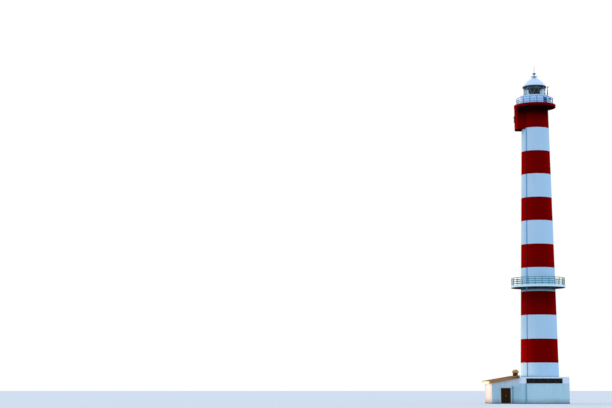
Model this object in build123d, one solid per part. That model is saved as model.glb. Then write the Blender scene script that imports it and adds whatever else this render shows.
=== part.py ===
from build123d import *
import os
from math import acos, atan2, cos, pi, radians, sin

# A striped round lighthouse with its foot building, as a model at half the real size.
# Millimetres, +Z up. The origin is on the tower's axis at ground level.
# +X runs along the front of the foot building, away from its low wing. The front faces -Y.
# Angles round the tower are measured from the front, positive towards +X.

# Tower shaft, which loses a little radius for each unit of height
SHAFT_BASE_R = 1220.0
SHAFT_TAPER = 0.02075
SHAFT_WALL = 125.0
FIRST_BAND = 2510.0
BAND_HEIGHT = 1477.0
BAND_COUNT = 10
TOP_BAND = 1370.0

# Seats and clearances
SEAT = 0.2
ROOF_JOINT = 3.0
DOOR_GAP = 6.0

# Galleries and their railings
MID_SLAB_R = 1695.0
MID_SLAB_THICK = 125.0
MID_SLAB_BAND = 3
MID_SLAB_RISE = 249.0
UPPER_SLAB_R = 1315.0
UPPER_SLAB_THICK = 150.0
RAIL_BAR = 32.0
POST_BAR = 32.0
MID_RAIL_INSET = 45.0
MID_RAIL_HEIGHT = 485.0
MID_RAILS = 4
MID_POSTS = 24
UPPER_RAIL_INSET = 175.0
UPPER_RAIL_HEIGHT = 440.0
UPPER_RAILS = 3
UPPER_POSTS = 16
UPPER_RAIL_TURN = -1.5
HATCH = 330.0
HATCH_FROM_AXIS = 430.0

# Projecting chamber under the upper gallery, on the -X side
CHAMBER_R = 1300.0
CHAMBER_HALF = 530.0
CHAMBER_WALL = 75.0
CHAMBER_DROP = 55.0
CHAMBER_WINDOW_WIDE = 300.0
CHAMBER_WINDOW_TALL = 300.0
CHAMBER_WINDOW_SILL = 525.0
CHAMBER_WINDOW_PROUD = 25.0
CHAMBER_WAY_WIDE = 500.0
CHAMBER_WAY_TALL = 1000.0

# Cable duct on the shaft's face
DUCT_FROM_CHAMBER = 8.0
DUCT_WIDE = 45.0
DUCT_DEEP = 28.0

# Lantern
DRUM_R = 900.0
DRUM_WALL = 60.0
DRUM_TALL = 550.0
DRUM_DOOR_ANGLE = 39.5
DRUM_DOOR_WIDE = 330.0
DRUM_DOOR_TALL = 425.0
LEDGE_OVER_DRUM = 25.0
LEDGE_THICK = 28.0
GLAZING_R = 690.0
GLAZING_TALL = 612.0
GLAZING_BAYS = 8
GLAZING_TURN = -65.0
GLAZING_BAR_WIDE = 16.0
GLAZING_BAR_DEEP = 30.0
GLAZING_CURB = 26.0
GLASS_THICK = 8.0
LENS_R = 375.0
LENS_TALL = 470.0
LENS_WALL = 30.0
LENS_RIBS = 9
LENS_SLOPE_SHARE = 0.8
PEDESTAL_R = 170.0
LANTERN_CLEAR_R = 600.0
EAVE_R = 752.0
EAVE_THICK = 34.0
EAVE_LIP = 20.0
EAVE_SKIRT = 42.0
EAVE_SKIRT_THICK = 16.0
DOME_TALL = 560.0
DOME_SHOULDER_OUT_SHARE = 0.66
DOME_SHOULDER_UP_SHARE = 0.54
DOME_TOP_R = 120.0
DOME_SHEET = 14.0
VENT_R = 213.0
VENT_NECK_R = 95.0
VENT_NECK_TALL = 95.0
VENT_BRIM_DROP = 19.0
VENT_BRIM_THICK = 12.0
VENT_CROWN_R = 66.0
VENT_CROWN_TALL = 43.0
BALL_R = 112.0
BALL_SQUASH = 0.56
SPINDLE_R = 24.0
SPINDLE_TALL = 78.0
ROD_R = 9.0
ROD_TALL = 424.0
MAST_IN_FROM_DRUM = 75.0
MAST_ANGLE = 88.0
MAST_R = 42.0
MAST_TIP_R = 9.0
MAST_TALL = 700.0
MAST_ARM = 105.0
MAST_ARM_DROP = 98.0
VANE_R = 14.0
VANE_TALL = 63.0
CUP_R = 27.0
CUP_DROP = 70.0

# Foot building: a flat-roofed block round the tower and a lean-to wing on its -X side
BLOCK_HALF = 1525.0
HALF_DEPTH = 1800.0
WING_END = 3215.0
WALL = 100.0
FLOOR_TOP = 50.0
BLOCK_WALL_TOP = 1540.0
BLOCK_ROOF_THICK = 85.0
STRIP_HALF = 1110.0
STRIP_SILL = 1230.0
STRIP_PANES = 5
WINDOW_BAR = 26.0
WINDOW_DEEP = 45.0
PANE_THICK = 6.0
WING_ROOF_EAVE = 3380.0
WING_ROOF_LOW = 1380.0
WING_ROOF_HIGH = 1710.0
WING_ROOF_SHEET = 22.0
VERGE_OUT = 150.0
FASCIA_TALL = 145.0
FASCIA_THICK = 22.0
SEAM_TALL = 16.0
SEAM_WIDE = 14.0
SEAM_COUNT = 9
BEAM_DROP = 210.0
BEAM_WIDE = 200.0

# Wing door with two leaves that open outwards
DOOR_FROM_END = 527.0
DOOR_WIDE = 634.0
DOOR_TALL = 925.0
DOOR_LINING = 18.0
TRIM = 52.0
TRIM_PROUD = 14.0
LEAF_THICK = 26.0
LEAF_PANEL_DEEP = 6.0
LEAF_STILE = 48.0
PIN_R = 4.0
KNUCKLE_R = 8.0
KNUCKLE_TALL = 60.0
PIN_CLEAR = 0.05
HINGE_SHARES = (0.15, 0.5, 0.85)
STEP_OUT = 300.0
STEP_TALL = 40.0
STEP_SIDE = 60.0

# Doorway from the wing's side of the block into the tower
TOWER_DOOR_WIDE = 420.0
TOWER_DOOR_TALL = 1000.0

# Roof cowl on the wing
COWL_FROM_BLOCK = 165.0
COWL_BAY = 1
COWL_CAP_R = 230.0
COWL_NECK_R = 160.0
COWL_TALL = 400.0
COWL_CAP_TALL = 185.0
COWL_SHEET = 10.0

# Rainwater pipes on the front wall
PIPE_R = 24.0
PIPE_OFF = 12.0
PIPE_CLIP_HALF = 34.0
PIPE_CLIP_SHARES = (0.2, 0.75)
HOPPER_FROM_TRIM = 7.0
HOPPER_TOP = 1045.0
HOPPER_TALL = 110.0
HOPPER_WIDE = 110.0
SIDE_PIPE_FROM_STRIP = 15.0

# Lamp on the upper gallery's railing
LAMP_ANGLE = 62.0
LAMP_R = 60.0
LAMP_LONG = 120.0
LAMP_TILT = 60.0
LAMP_FROM_DRUM = 130.0
STALK_R = 15.0
STALK_TALL = 360.0

# Heights worked out from the sizes above
SHAFT_TOP = FIRST_BAND + BAND_COUNT * BAND_HEIGHT + TOP_BAND
MID_SLAB_LOW = FIRST_BAND + MID_SLAB_BAND * BAND_HEIGHT + MID_SLAB_RISE
MID_SLAB_TOP = MID_SLAB_LOW + MID_SLAB_THICK
DECK = SHAFT_TOP + UPPER_SLAB_THICK
DRUM_TOP = DECK + DRUM_TALL
LEDGE_R = DRUM_R + LEDGE_OVER_DRUM
LEDGE_TOP = DRUM_TOP + LEDGE_THICK
EAVE = LEDGE_TOP + GLAZING_TALL
DOME_BASE = EAVE + EAVE_THICK
DOME_TOP = DOME_BASE + DOME_TALL
DOME_BASE_R = EAVE_R - 2 * DOME_SHEET
MAST_OUT = DRUM_R - MAST_IN_FROM_DRUM
CHAMBER_LOW = SHAFT_TOP - TOP_BAND - CHAMBER_DROP
BLOCK_ROOF_TOP = BLOCK_WALL_TOP + BLOCK_ROOF_THICK
WING_SLOPE = (WING_ROOF_HIGH - WING_ROOF_LOW) / (WING_ROOF_EAVE - BLOCK_HALF)
DOOR_LEFT = -WING_END + DOOR_FROM_END
DOOR_RIGHT = DOOR_LEFT + DOOR_WIDE
DOOR_TOP = FLOOR_TOP + DOOR_TALL
COWL_X = -BLOCK_HALF - COWL_FROM_BLOCK
HOPPER_X = DOOR_RIGHT + TRIM + HOPPER_FROM_TRIM + HOPPER_WIDE / 2
SIDE_PIPE_X = -STRIP_HALF - SIDE_PIPE_FROM_STRIP
MID_RAIL_R = MID_SLAB_R - MID_RAIL_INSET
UPPER_RAIL_R = UPPER_SLAB_R - UPPER_RAIL_INSET


def block(x0, x1, y0, y1, z0, z1):
    """Box between two corners."""
    centre = Location(((x0 + x1) / 2, (y0 + y1) / 2, (z0 + z1) / 2))
    return centre * Box(x1 - x0, y1 - y0, z1 - z0)


def turned(*points, angle=360.0):
    """Solid turned about the tower's axis from a profile of (radius, height) points."""
    profile = make_face(Polyline(*[(r, 0, z) for r, z in points], close=True))
    return revolve(profile, Axis.Z, angle)


def tube(outer, inner, low, high):
    """Straight round ring about the tower's axis."""
    return turned((inner, low), (outer, low), (outer, high), (inner, high))


def upright(radius, low, high, x=0.0, y=0.0):
    """Round upright bar."""
    return Location((x, y, (low + high) / 2)) * Cylinder(radius, high - low)


def shaft_r(z):
    """Outer radius of the shaft at a height."""
    return SHAFT_BASE_R - SHAFT_TAPER * z


def on_ring(radius, degrees):
    """Point on a circle about the axis, with the angle taken from the front towards +X."""
    return radius * sin(radians(degrees)), -radius * cos(radians(degrees))


def faced(degrees):
    """Turn that carries what is built on the +X side to an angle from the front."""
    return Rot(0, 0, degrees - 90)


def shaft_ring(low, high):
    """One lift of the tapered shaft."""
    return turned(
        (shaft_r(low) - SHAFT_WALL, low),
        (shaft_r(low), low),
        (shaft_r(high), high),
        (shaft_r(high) - SHAFT_WALL, high),
    )


def shaft_body(low, high, extra=0.0):
    """The shaft's outer form, solid, for cutting what meets it."""
    return turned((0, low), (shaft_r(low) + extra, low), (shaft_r(high) + extra, high), (0, high))


def cap_arc(radius, low, top):
    """Arc of a spherical cap, from its rim to its crown on the axis."""
    rise = top - low
    ball = (radius**2 + rise**2) / (2 * rise)
    half_turn = atan2(radius, ball - rise) / 2
    shoulder = (ball * sin(half_turn), 0, top - ball + ball * cos(half_turn))
    return ThreePointArc((radius, 0, low), shoulder, (0, 0, top))


def make_shaft():
    """All lifts of the shaft by name, from the floor to the upper gallery."""
    lifts = {}
    base = shaft_ring(FLOOR_TOP, FIRST_BAND)
    half = TOWER_DOOR_WIDE / 2
    doorway = block(-SHAFT_BASE_R - WALL, 0, -half, half, FLOOR_TOP, FLOOR_TOP + TOWER_DOOR_TALL)
    lifts["shaft_base"] = base - doorway
    number = 1
    for band in range(BAND_COUNT):
        low = FIRST_BAND + band * BAND_HEIGHT
        spans = [(low, low + BAND_HEIGHT)]
        if band == MID_SLAB_BAND:
            spans = [(low, MID_SLAB_LOW), (MID_SLAB_TOP, low + BAND_HEIGHT)]
        for start, end in spans:
            lifts[f"shaft_lift_{number:02d}"] = shaft_ring(start, end)
            number += 1
    top = shaft_ring(SHAFT_TOP - TOP_BAND, SHAFT_TOP)
    way_half = CHAMBER_WAY_WIDE / 2
    way_low = CHAMBER_LOW + CHAMBER_WALL
    way = block(-CHAMBER_R, 0, -way_half, way_half, way_low, way_low + CHAMBER_WAY_TALL)
    lifts["shaft_top"] = top - way
    return lifts


def make_railing(ring_r, deck, height, rails, posts, turn):
    """Railing in bays: each has one post and the curved rails that run on to the next post."""
    step = 360 / posts
    half = POST_BAR / 2
    post = block(ring_r - half, ring_r + half, -half, half, deck, deck + height)
    following = Rot(0, 0, step) * post
    inner, outer = ring_r - RAIL_BAR / 2, ring_r + RAIL_BAR / 2
    bay = post
    for number in range(rails):
        top = deck + height * (number + 1) / rails
        low = top - RAIL_BAR
        rail = turned((inner, low), (outer, low), (outer, top), (inner, top), angle=step)
        bay += rail - post - following
    return Compound([Rot(0, 0, turn + step * n) * bay for n in range(posts)])


def make_mid_slab():
    """Round gallery slab that is built into the shaft's wall."""
    inner = shaft_r(MID_SLAB_LOW) - SHAFT_WALL
    return tube(MID_SLAB_R, inner, MID_SLAB_LOW, MID_SLAB_TOP)


def make_upper_slab():
    """Gallery slab on the shaft's top, with a hatch from the shaft into the lantern."""
    slab = turned((0, SHAFT_TOP), (UPPER_SLAB_R, SHAFT_TOP), (UPPER_SLAB_R, DECK), (0, DECK))
    low, high = HATCH_FROM_AXIS - HATCH / 2, HATCH_FROM_AXIS + HATCH / 2
    return slab - block(-HATCH / 2, HATCH / 2, low, high, SHAFT_TOP, DECK)


def make_chamber():
    """Walls and floor of the curved chamber that projects from the shaft, hung under the upper gallery."""
    half, inner_half = CHAMBER_HALF, CHAMBER_HALF - CHAMBER_WALL
    floor = CHAMBER_LOW + CHAMBER_WALL
    outer = turned((0, CHAMBER_LOW), (CHAMBER_R, CHAMBER_LOW), (CHAMBER_R, SHAFT_TOP), (0, SHAFT_TOP))
    outer -= shaft_body(CHAMBER_LOW, SHAFT_TOP, SEAT)
    inner_r = CHAMBER_R - CHAMBER_WALL
    room = turned((0, floor), (inner_r, floor), (inner_r, SHAFT_TOP), (0, SHAFT_TOP))
    front = block(-CHAMBER_R, 0, -half, -inner_half, CHAMBER_LOW, SHAFT_TOP)
    back = block(-CHAMBER_R, 0, inner_half, half, CHAMBER_LOW, SHAFT_TOP)
    bottom = block(-CHAMBER_R, 0, -inner_half, inner_half, CHAMBER_LOW, floor)
    face = block(-CHAMBER_R, 0, -inner_half, inner_half, floor, SHAFT_TOP)
    return {
        "chamber_side_front": outer & front,
        "chamber_side_back": outer & back,
        "chamber_floor": outer & bottom,
        "chamber_walls": (outer & face) - room - chamber_window_hole(),
    }


def chamber_window_hole():
    """Space that the chamber's window fills."""
    half = CHAMBER_WINDOW_WIDE / 2
    low = CHAMBER_LOW + CHAMBER_WINDOW_SILL
    near, far = -CHAMBER_R - WALL, -CHAMBER_R + 2 * CHAMBER_WALL
    return block(near, far, -half, half, low, low + CHAMBER_WINDOW_TALL)


def window(width, height, panes):
    """Frame and glass of one window, with its lower left outer corner at the origin, facing -Y."""
    bar = WINDOW_BAR
    frame = block(0, width, 0, WINDOW_DEEP, 0, height)
    frame -= block(bar, width - bar, 0, WINDOW_DEEP, bar, height - bar)
    step = (width - bar) / panes
    mullion_deep = WINDOW_DEEP / 2
    for number in range(1, panes):
        frame += block(number * step, number * step + bar, 0, mullion_deep, bar, height - bar)
    glass = block(bar, width - bar, mullion_deep, mullion_deep + PANE_THICK, bar, height - bar)
    return frame, glass


def make_windows():
    """Frames and glass of the strip windows and of the chamber's window."""
    inset = (WALL - WINDOW_DEEP) / 2
    strip = window(2 * STRIP_HALF, BLOCK_WALL_TOP - STRIP_SILL, STRIP_PANES)
    front = Location((-STRIP_HALF, -HALF_DEPTH + inset, STRIP_SILL))
    back = Location((STRIP_HALF, HALF_DEPTH - inset, STRIP_SILL), (0, 0, 180))
    right = Location((BLOCK_HALF - inset, -STRIP_HALF, STRIP_SILL), (0, 0, 90))
    small = window(CHAMBER_WINDOW_WIDE, CHAMBER_WINDOW_TALL, 1)
    low = CHAMBER_LOW + CHAMBER_WINDOW_SILL
    proud = -CHAMBER_R - CHAMBER_WINDOW_PROUD
    left = Location((proud, CHAMBER_WINDOW_WIDE / 2, low), (0, 0, -90))
    placed = [(strip, front), (strip, back), (strip, right), (small, left)]
    frames = Compound([spot * pair[0] for pair, spot in placed])
    panes = Compound([spot * pair[1] for pair, spot in placed])
    return frames, panes


def make_duct():
    """Cable duct on the shaft's face, from the block's roof to the upper gallery, in two lengths."""
    corner = acos((CHAMBER_HALF + DUCT_FROM_CHAMBER) / shaft_r(SHAFT_TOP)) * 180 / pi
    runs = []
    for low, high in [(BLOCK_ROOF_TOP, MID_SLAB_LOW), (MID_SLAB_TOP, SHAFT_TOP)]:
        spread = DUCT_WIDE / shaft_r(high) * 180 / pi
        near, far = SEAT, SEAT + DUCT_DEEP
        run = turned(
            (shaft_r(low) + near, low),
            (shaft_r(low) + far, low),
            (shaft_r(high) + far, high),
            (shaft_r(high) + near, high),
            angle=spread,
        )
        runs.append(faced(-corner) * run)
    return Compound(runs)


def drum_door_space(clear):
    """Sector of the drum's wall that the low door fills."""
    spread = (DRUM_DOOR_WIDE + 2 * clear) / DRUM_R * 180 / pi
    sector = turned(
        (DRUM_R - DRUM_WALL, DECK),
        (DRUM_R, DECK),
        (DRUM_R, DECK + DRUM_DOOR_TALL + clear),
        (DRUM_R - DRUM_WALL, DECK + DRUM_DOOR_TALL + clear),
        angle=spread,
    )
    return faced(DRUM_DOOR_ANGLE - spread / 2) * sector


def zigzag(radius):
    """Corners of the lantern's glazing: the low ring, then the high ring half a bay further round."""
    step = 360 / GLAZING_BAYS
    low = [on_ring(radius, GLAZING_TURN + step * n) for n in range(GLAZING_BAYS)]
    high = [on_ring(radius, GLAZING_TURN + step * (n + 0.5)) for n in range(GLAZING_BAYS)]
    return low, high


def glass_body(radius, bottom, top):
    """Closed solid with triangular sides between the two rings of glazing corners."""
    low, high = zigzag(radius)
    low = [(x, y, bottom) for x, y in low]
    high = [(x, y, top) for x, y in high]
    faces = [make_face(Polyline(*low, close=True)), make_face(Polyline(*high, close=True))]
    for n in range(GLAZING_BAYS):
        following = (n + 1) % GLAZING_BAYS
        faces.append(make_face(Polyline(low[n], low[following], high[n], close=True)))
        faces.append(make_face(Polyline(low[following], high[following], high[n], close=True)))
    return Solid(Shell(faces))


def make_glass():
    """Triangular glass of the lantern, standing on the ledge and reaching the eave."""
    radius = GLAZING_R - GLAZING_BAR_DEEP / 2 - SEAT
    return glass_body(radius, LEDGE_TOP, EAVE) - glass_body(radius - GLASS_THICK, LEDGE_TOP, EAVE)


def make_glazing_bars():
    """Slanting bars between a curb on the ledge and a curb under the eave."""
    low, high = zigzag(GLAZING_R)
    outer = GLAZING_R + GLAZING_BAR_DEEP / 2
    inner = GLAZING_R - GLAZING_BAR_DEEP / 2
    bars = tube(outer, inner, LEDGE_TOP, LEDGE_TOP + GLAZING_CURB)
    bars += tube(outer, inner, EAVE - GLAZING_CURB, EAVE)
    for n in range(GLAZING_BAYS):
        for bottom in (low[n], low[(n + 1) % GLAZING_BAYS]):
            start = Vector(bottom[0], bottom[1], LEDGE_TOP)
            end = Vector(high[n][0], high[n][1], EAVE)
            along = end - start
            middle = (start + end) / 2
            outward = Vector(middle.X, middle.Y, 0)
            side = along.cross(outward)
            plane = Plane(origin=start, x_dir=side, z_dir=along)
            bar = extrude(plane * Rectangle(GLAZING_BAR_WIDE, GLAZING_BAR_DEEP), along.length)
            bars += bar
    band = turned((inner, LEDGE_TOP), (outer, LEDGE_TOP), (outer, EAVE), (inner, EAVE))
    return bars & band


def make_lens():
    """Stepped lens on a pedestal that stands on the upper slab."""
    low = LEDGE_TOP + GLAZING_CURB
    pitch = LENS_TALL / LENS_RIBS
    step = LENS_WALL / 3
    outline = [(LENS_R - LENS_WALL, low)]
    for rib in range(LENS_RIBS):
        z = low + rib * pitch
        from_middle = 2 * rib + 1 - LENS_RIBS
        proud = LENS_R - LENS_WALL * abs(from_middle) / LENS_RIBS
        if from_middle < 0:
            outline += [(proud - step, z), (proud, z + pitch * LENS_SLOPE_SHARE)]
        else:
            outline += [(proud, z + pitch * (1 - LENS_SLOPE_SHARE)), (proud - step, z + pitch)]
    inner = LENS_R - 2 * LENS_WALL
    outline += [(inner, low + LENS_TALL), (inner - step, low)]
    lens = turned(*outline)
    table = turned((0, low - LENS_WALL), (LENS_R, low - LENS_WALL), (LENS_R, low), (0, low))
    foot = upright(PEDESTAL_R, DECK, low - LENS_WALL)
    return lens + table + foot


def make_eave():
    """Eave ring round the lantern's head, with a skirt that hangs outside the glass."""
    skirt_low = EAVE - EAVE_SKIRT
    skirt_inner = EAVE_R - EAVE_SKIRT_THICK
    return turned(
        (LANTERN_CLEAR_R, EAVE),
        (skirt_inner, EAVE),
        (skirt_inner, skirt_low),
        (EAVE_R, skirt_low),
        (EAVE_R, EAVE + EAVE_LIP),
        (DOME_BASE_R, DOME_BASE),
        (LANTERN_CLEAR_R, DOME_BASE),
    )


def make_lantern_roof():
    """Thin dome on the eave ring."""
    sheet = DOME_SHEET
    shoulder_r = DOME_BASE_R * DOME_SHOULDER_OUT_SHARE
    shoulder_z = DOME_BASE + DOME_TALL * DOME_SHOULDER_UP_SHARE
    outside = ThreePointArc(
        (DOME_BASE_R, 0, DOME_BASE),
        (shoulder_r, 0, shoulder_z),
        (DOME_TOP_R, 0, DOME_TOP),
    )
    inside = ThreePointArc(
        (DOME_BASE_R - sheet, 0, DOME_BASE),
        (shoulder_r - sheet, 0, shoulder_z - sheet),
        (DOME_TOP_R - sheet, 0, DOME_TOP - sheet),
    )
    top = Polyline((DOME_TOP_R, 0, DOME_TOP), (0, 0, DOME_TOP), (0, 0, DOME_TOP - sheet), inside @ 1)
    foot = Line(outside @ 0, inside @ 0)
    return revolve(make_face([outside, top, inside, foot]), Axis.Z)


def make_vent_cap():
    """Ventilator on the dome: a neck under a shallow brimmed cap."""
    neck_top = DOME_TOP + VENT_NECK_TALL
    brim_low = neck_top - VENT_BRIM_DROP
    crown = neck_top + VENT_CROWN_TALL
    return turned(
        (0, DOME_TOP),
        (VENT_NECK_R, DOME_TOP),
        (VENT_NECK_R, neck_top),
        (VENT_R, brim_low),
        (VENT_R, brim_low + VENT_BRIM_THICK),
        (VENT_CROWN_R, crown),
        (0, crown),
    )


def make_finial():
    """Flattened ball on a spindle, with the long rod above it."""
    low = DOME_TOP + VENT_NECK_TALL + VENT_CROWN_TALL
    half = BALL_R * BALL_SQUASH
    centre = low + SPINDLE_TALL + half
    ball = Location((0, 0, centre)) * scale(Sphere(BALL_R), by=(1, 1, BALL_SQUASH))
    spindle = upright(SPINDLE_R, low, centre)
    rod = upright(ROD_R, centre, centre + half + ROD_TALL)
    return ball + spindle + rod


def make_mast():
    """Tapered mast for wind instruments, standing on the lantern's ledge."""
    x, y = on_ring(MAST_OUT, MAST_ANGLE)
    top = LEDGE_TOP + MAST_TALL
    mast = Location((x, y, LEDGE_TOP + MAST_TALL / 2)) * Cone(MAST_R, MAST_TIP_R, MAST_TALL)
    arm_z = top - MAST_ARM_DROP
    half = MAST_TIP_R
    arm = block(x, x + MAST_ARM, y - half, y + half, arm_z - half, arm_z + half)
    vane = upright(VANE_R, arm_z, arm_z + VANE_TALL, x + MAST_ARM - half, y)
    cup = Location((x, y, top - CUP_DROP)) * Sphere(CUP_R)
    return mast + arm + vane + cup


def roof_z(x):
    """Top of the wing's roof sheet at a place along its slope."""
    return WING_ROOF_HIGH - WING_SLOPE * (-BLOCK_HALF - x)


def under_roof(x0, x1, y0, y1, low):
    """Wall piece of the wing whose top follows the underside of the sloping sheet."""
    z0, z1 = roof_z(x0) - WING_ROOF_SHEET, roof_z(x1) - WING_ROOF_SHEET
    side = Polyline((x0, y0, low), (x1, y0, low), (x1, y0, z1), (x0, y0, z0), close=True)
    return extrude(make_face(side), y1 - y0, dir=(0, 1, 0))


def make_wing_walls():
    """Walls of the wing, split beside and over its door."""
    front, inner = -HALF_DEPTH, -HALF_DEPTH + WALL
    corner = -WING_END + WALL
    walls = {
        "wing_end_wall": under_roof(-WING_END, corner, front, HALF_DEPTH, FLOOR_TOP),
        "wing_front_wall_left": under_roof(corner, DOOR_LEFT, front, inner, FLOOR_TOP),
        "wing_wall_over_door": under_roof(DOOR_LEFT, DOOR_RIGHT, front, inner, DOOR_TOP),
        "wing_front_wall_right": under_roof(DOOR_RIGHT, -BLOCK_HALF, front, inner, FLOOR_TOP),
        "wing_back_wall": under_roof(corner, -BLOCK_HALF, -inner, HALF_DEPTH, FLOOR_TOP),
    }
    return walls


def make_party_beam():
    """Beam across the wide opening between wing and block, under both roofs."""
    left, right = -BLOCK_HALF - BEAM_WIDE / 2, -BLOCK_HALF + BEAM_WIDE / 2
    low = BLOCK_WALL_TOP - BEAM_DROP
    inner = HALF_DEPTH - WALL
    part_wing = under_roof(left, -BLOCK_HALF, -inner, inner, low)
    return part_wing + block(-BLOCK_HALF, right, -inner, inner, low, BLOCK_WALL_TOP)


def make_wing_roof():
    """Folded metal sheet with standing seams that run down the slope."""
    y0, y1 = -HALF_DEPTH - VERGE_OUT, HALF_DEPTH + VERGE_OUT
    x0, x1 = -WING_ROOF_EAVE, -BLOCK_HALF
    sheet_z = WING_ROOF_SHEET
    side = Polyline(
        (x0, y0, roof_z(x0) - sheet_z),
        (x1, y0, roof_z(x1) - sheet_z),
        (x1, y0, roof_z(x1)),
        (x0, y0, roof_z(x0)),
        close=True,
    )
    roof = extrude(make_face(side), y1 - y0, dir=(0, 1, 0))
    rise = Polyline(
        (x0, y0, roof_z(x0) - sheet_z / 2),
        (x1, y0, roof_z(x1) - sheet_z / 2),
        (x1, y0, roof_z(x1) + SEAM_TALL),
        (x0, y0, roof_z(x0) + SEAM_TALL),
        close=True,
    )
    seam = extrude(make_face(rise), SEAM_WIDE, dir=(0, 1, 0))
    return roof.fuse(*[Pos(0, seam_pitch() * n, 0) * seam for n in range(SEAM_COUNT)])


def make_wing_fascia():
    """Deep boards under the roof's edges, and the board that closes its high end."""
    y0, y1 = -HALF_DEPTH - VERGE_OUT, HALF_DEPTH + VERGE_OUT
    gap = WING_ROOF_SHEET
    x0 = -WING_ROOF_EAVE
    boards = []
    for near, far in [(y0, y0 + FASCIA_THICK), (y1 - FASCIA_THICK, y1)]:
        board = under_roof(x0, -BLOCK_HALF, near, far, 0)
        cut = Polyline(
            (x0, near, -1),
            (-BLOCK_HALF, near, -1),
            (-BLOCK_HALF, near, roof_z(-BLOCK_HALF) - gap - FASCIA_TALL),
            (x0, near, roof_z(x0) - gap - FASCIA_TALL),
            close=True,
        )
        boards.append(board - extrude(make_face(cut), far - near, dir=(0, 1, 0)))
    low = roof_z(x0) - gap - FASCIA_TALL
    eave = under_roof(x0, x0 + FASCIA_THICK, y0 + FASCIA_THICK, y1 - FASCIA_THICK, low)
    high_x = -BLOCK_HALF + FASCIA_THICK
    high_end = block(-BLOCK_HALF, high_x, -HALF_DEPTH, HALF_DEPTH, BLOCK_ROOF_TOP, WING_ROOF_HIGH)
    return Compound([boards[0] + eave + boards[1], high_end])


def make_block_walls():
    """Walls of the block, lower along the strip windows that reach the flat roof."""
    front, inner = -HALF_DEPTH, -HALF_DEPTH + WALL
    full = block(-BLOCK_HALF, BLOCK_HALF, front, inner, FLOOR_TOP, BLOCK_WALL_TOP)
    notch = block(-STRIP_HALF, STRIP_HALF, front, inner, STRIP_SILL, BLOCK_WALL_TOP)
    side = block(BLOCK_HALF - WALL, BLOCK_HALF, inner, -inner, FLOOR_TOP, BLOCK_WALL_TOP)
    side_notch = block(BLOCK_HALF - WALL, BLOCK_HALF, -STRIP_HALF, STRIP_HALF, STRIP_SILL, BLOCK_WALL_TOP)
    return {
        "block_front_wall": full - notch,
        "block_back_wall": Rot(0, 0, 180) * (full - notch),
        "block_right_wall": side - side_notch,
    }


def make_block_roof():
    """Flat roof slab with a round hole that clears the shaft."""
    slab = block(-BLOCK_HALF, BLOCK_HALF, -HALF_DEPTH, HALF_DEPTH, BLOCK_WALL_TOP, BLOCK_ROOF_TOP)
    return slab - shaft_body(BLOCK_WALL_TOP, BLOCK_ROOF_TOP, ROOF_JOINT)


def hinge_spots():
    """Heights of the middles of a leaf's three hinges."""
    return [FLOOR_TOP + DOOR_TALL * share for share in HINGE_SHARES]


def door_lines():
    """The leaves' outer plane and the plane of the hinge axes in front of it."""
    face = -HALF_DEPTH - TRIM_PROUD
    return face, face - KNUCKLE_R


def make_door_frame():
    """Trim and lining round the door, with the hinge pins and their outer knuckles."""
    face, axis_y = door_lines()
    inner = -HALF_DEPTH + WALL
    frame = block(DOOR_LEFT - TRIM, DOOR_RIGHT + TRIM, face, -HALF_DEPTH, FLOOR_TOP, DOOR_TOP + TRIM)
    frame += block(DOOR_LEFT, DOOR_RIGHT, face, inner, FLOOR_TOP, DOOR_TOP)
    left, right = DOOR_LEFT + DOOR_LINING, DOOR_RIGHT - DOOR_LINING
    frame -= block(left, right, face, inner, FLOOR_TOP, DOOR_TOP - DOOR_LINING)
    for x, side in ((left, -1), (right, 1)):
        for z in hinge_spots():
            low, high = z - KNUCKLE_TALL / 2, z + KNUCKLE_TALL / 2
            frame += upright(PIN_R, low, high, x, axis_y)
            for start, end in ((low, z - KNUCKLE_TALL / 6), (z + KNUCKLE_TALL / 6, high)):
                frame += upright(KNUCKLE_R, start, end, x, axis_y)
                ends = sorted((x, x + side * 2 * KNUCKLE_R))
                frame += block(ends[0], ends[1], axis_y, face, start, end)
    return frame


def make_leaf(side):
    """One door leaf: side -1 is hinged on the left jamb and 1 on the right."""
    face, axis_y = door_lines()
    hinge_x = (DOOR_LEFT + DOOR_LINING) if side < 0 else (DOOR_RIGHT - DOOR_LINING)
    middle = (DOOR_LEFT + DOOR_RIGHT) / 2
    near, far = hinge_x - side * DOOR_GAP, middle + side * DOOR_GAP / 2
    x0, x1 = min(near, far), max(near, far)
    low, high = FLOOR_TOP + DOOR_GAP, DOOR_TOP - DOOR_LINING - DOOR_GAP
    leaf = block(x0, x1, face, face + LEAF_THICK, low, high)
    third = (high - low - LEAF_STILE) / 2
    left, right = x0 + LEAF_STILE, x1 - LEAF_STILE
    for start in (low + LEAF_STILE, low + third + LEAF_STILE):
        end = start + third - LEAF_STILE
        panel = block(left, right, face, face + LEAF_PANEL_DEEP, start, end)
        leaf -= panel + Pos(0, LEAF_THICK - LEAF_PANEL_DEEP, 0) * panel
    clear = PIN_R + PIN_CLEAR
    for z in hinge_spots():
        half = KNUCKLE_TALL / 6 - SEAT
        knuckle = upright(KNUCKLE_R, z - half, z + half, hinge_x, axis_y)
        ends = sorted((hinge_x, near - side * LEAF_STILE / 2))
        strap = block(ends[0], ends[1], axis_y, face, z - half, z + half)
        leaf += knuckle + strap
        leaf -= upright(clear, z - half, z + half, hinge_x, axis_y)
    return leaf


def seam_pitch():
    """Distance between the standing seams of the wing's roof."""
    return (2 * (HALF_DEPTH + VERGE_OUT) - SEAM_WIDE) / (SEAM_COUNT - 1)


def above_roof():
    """Space above the wing's roof sheet, for cutting what stands on it."""
    x0, x1 = -WING_ROOF_EAVE, 0
    top = WING_ROOF_HIGH + 2 * COWL_TALL
    side = Polyline((x0, 0, roof_z(x0)), (x1, 0, roof_z(x1)), (x1, 0, top), (x0, 0, top), close=True)
    return Pos(0, -WING_END, 0) * extrude(make_face(side), 2 * WING_END, dir=(0, 1, 0))


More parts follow.
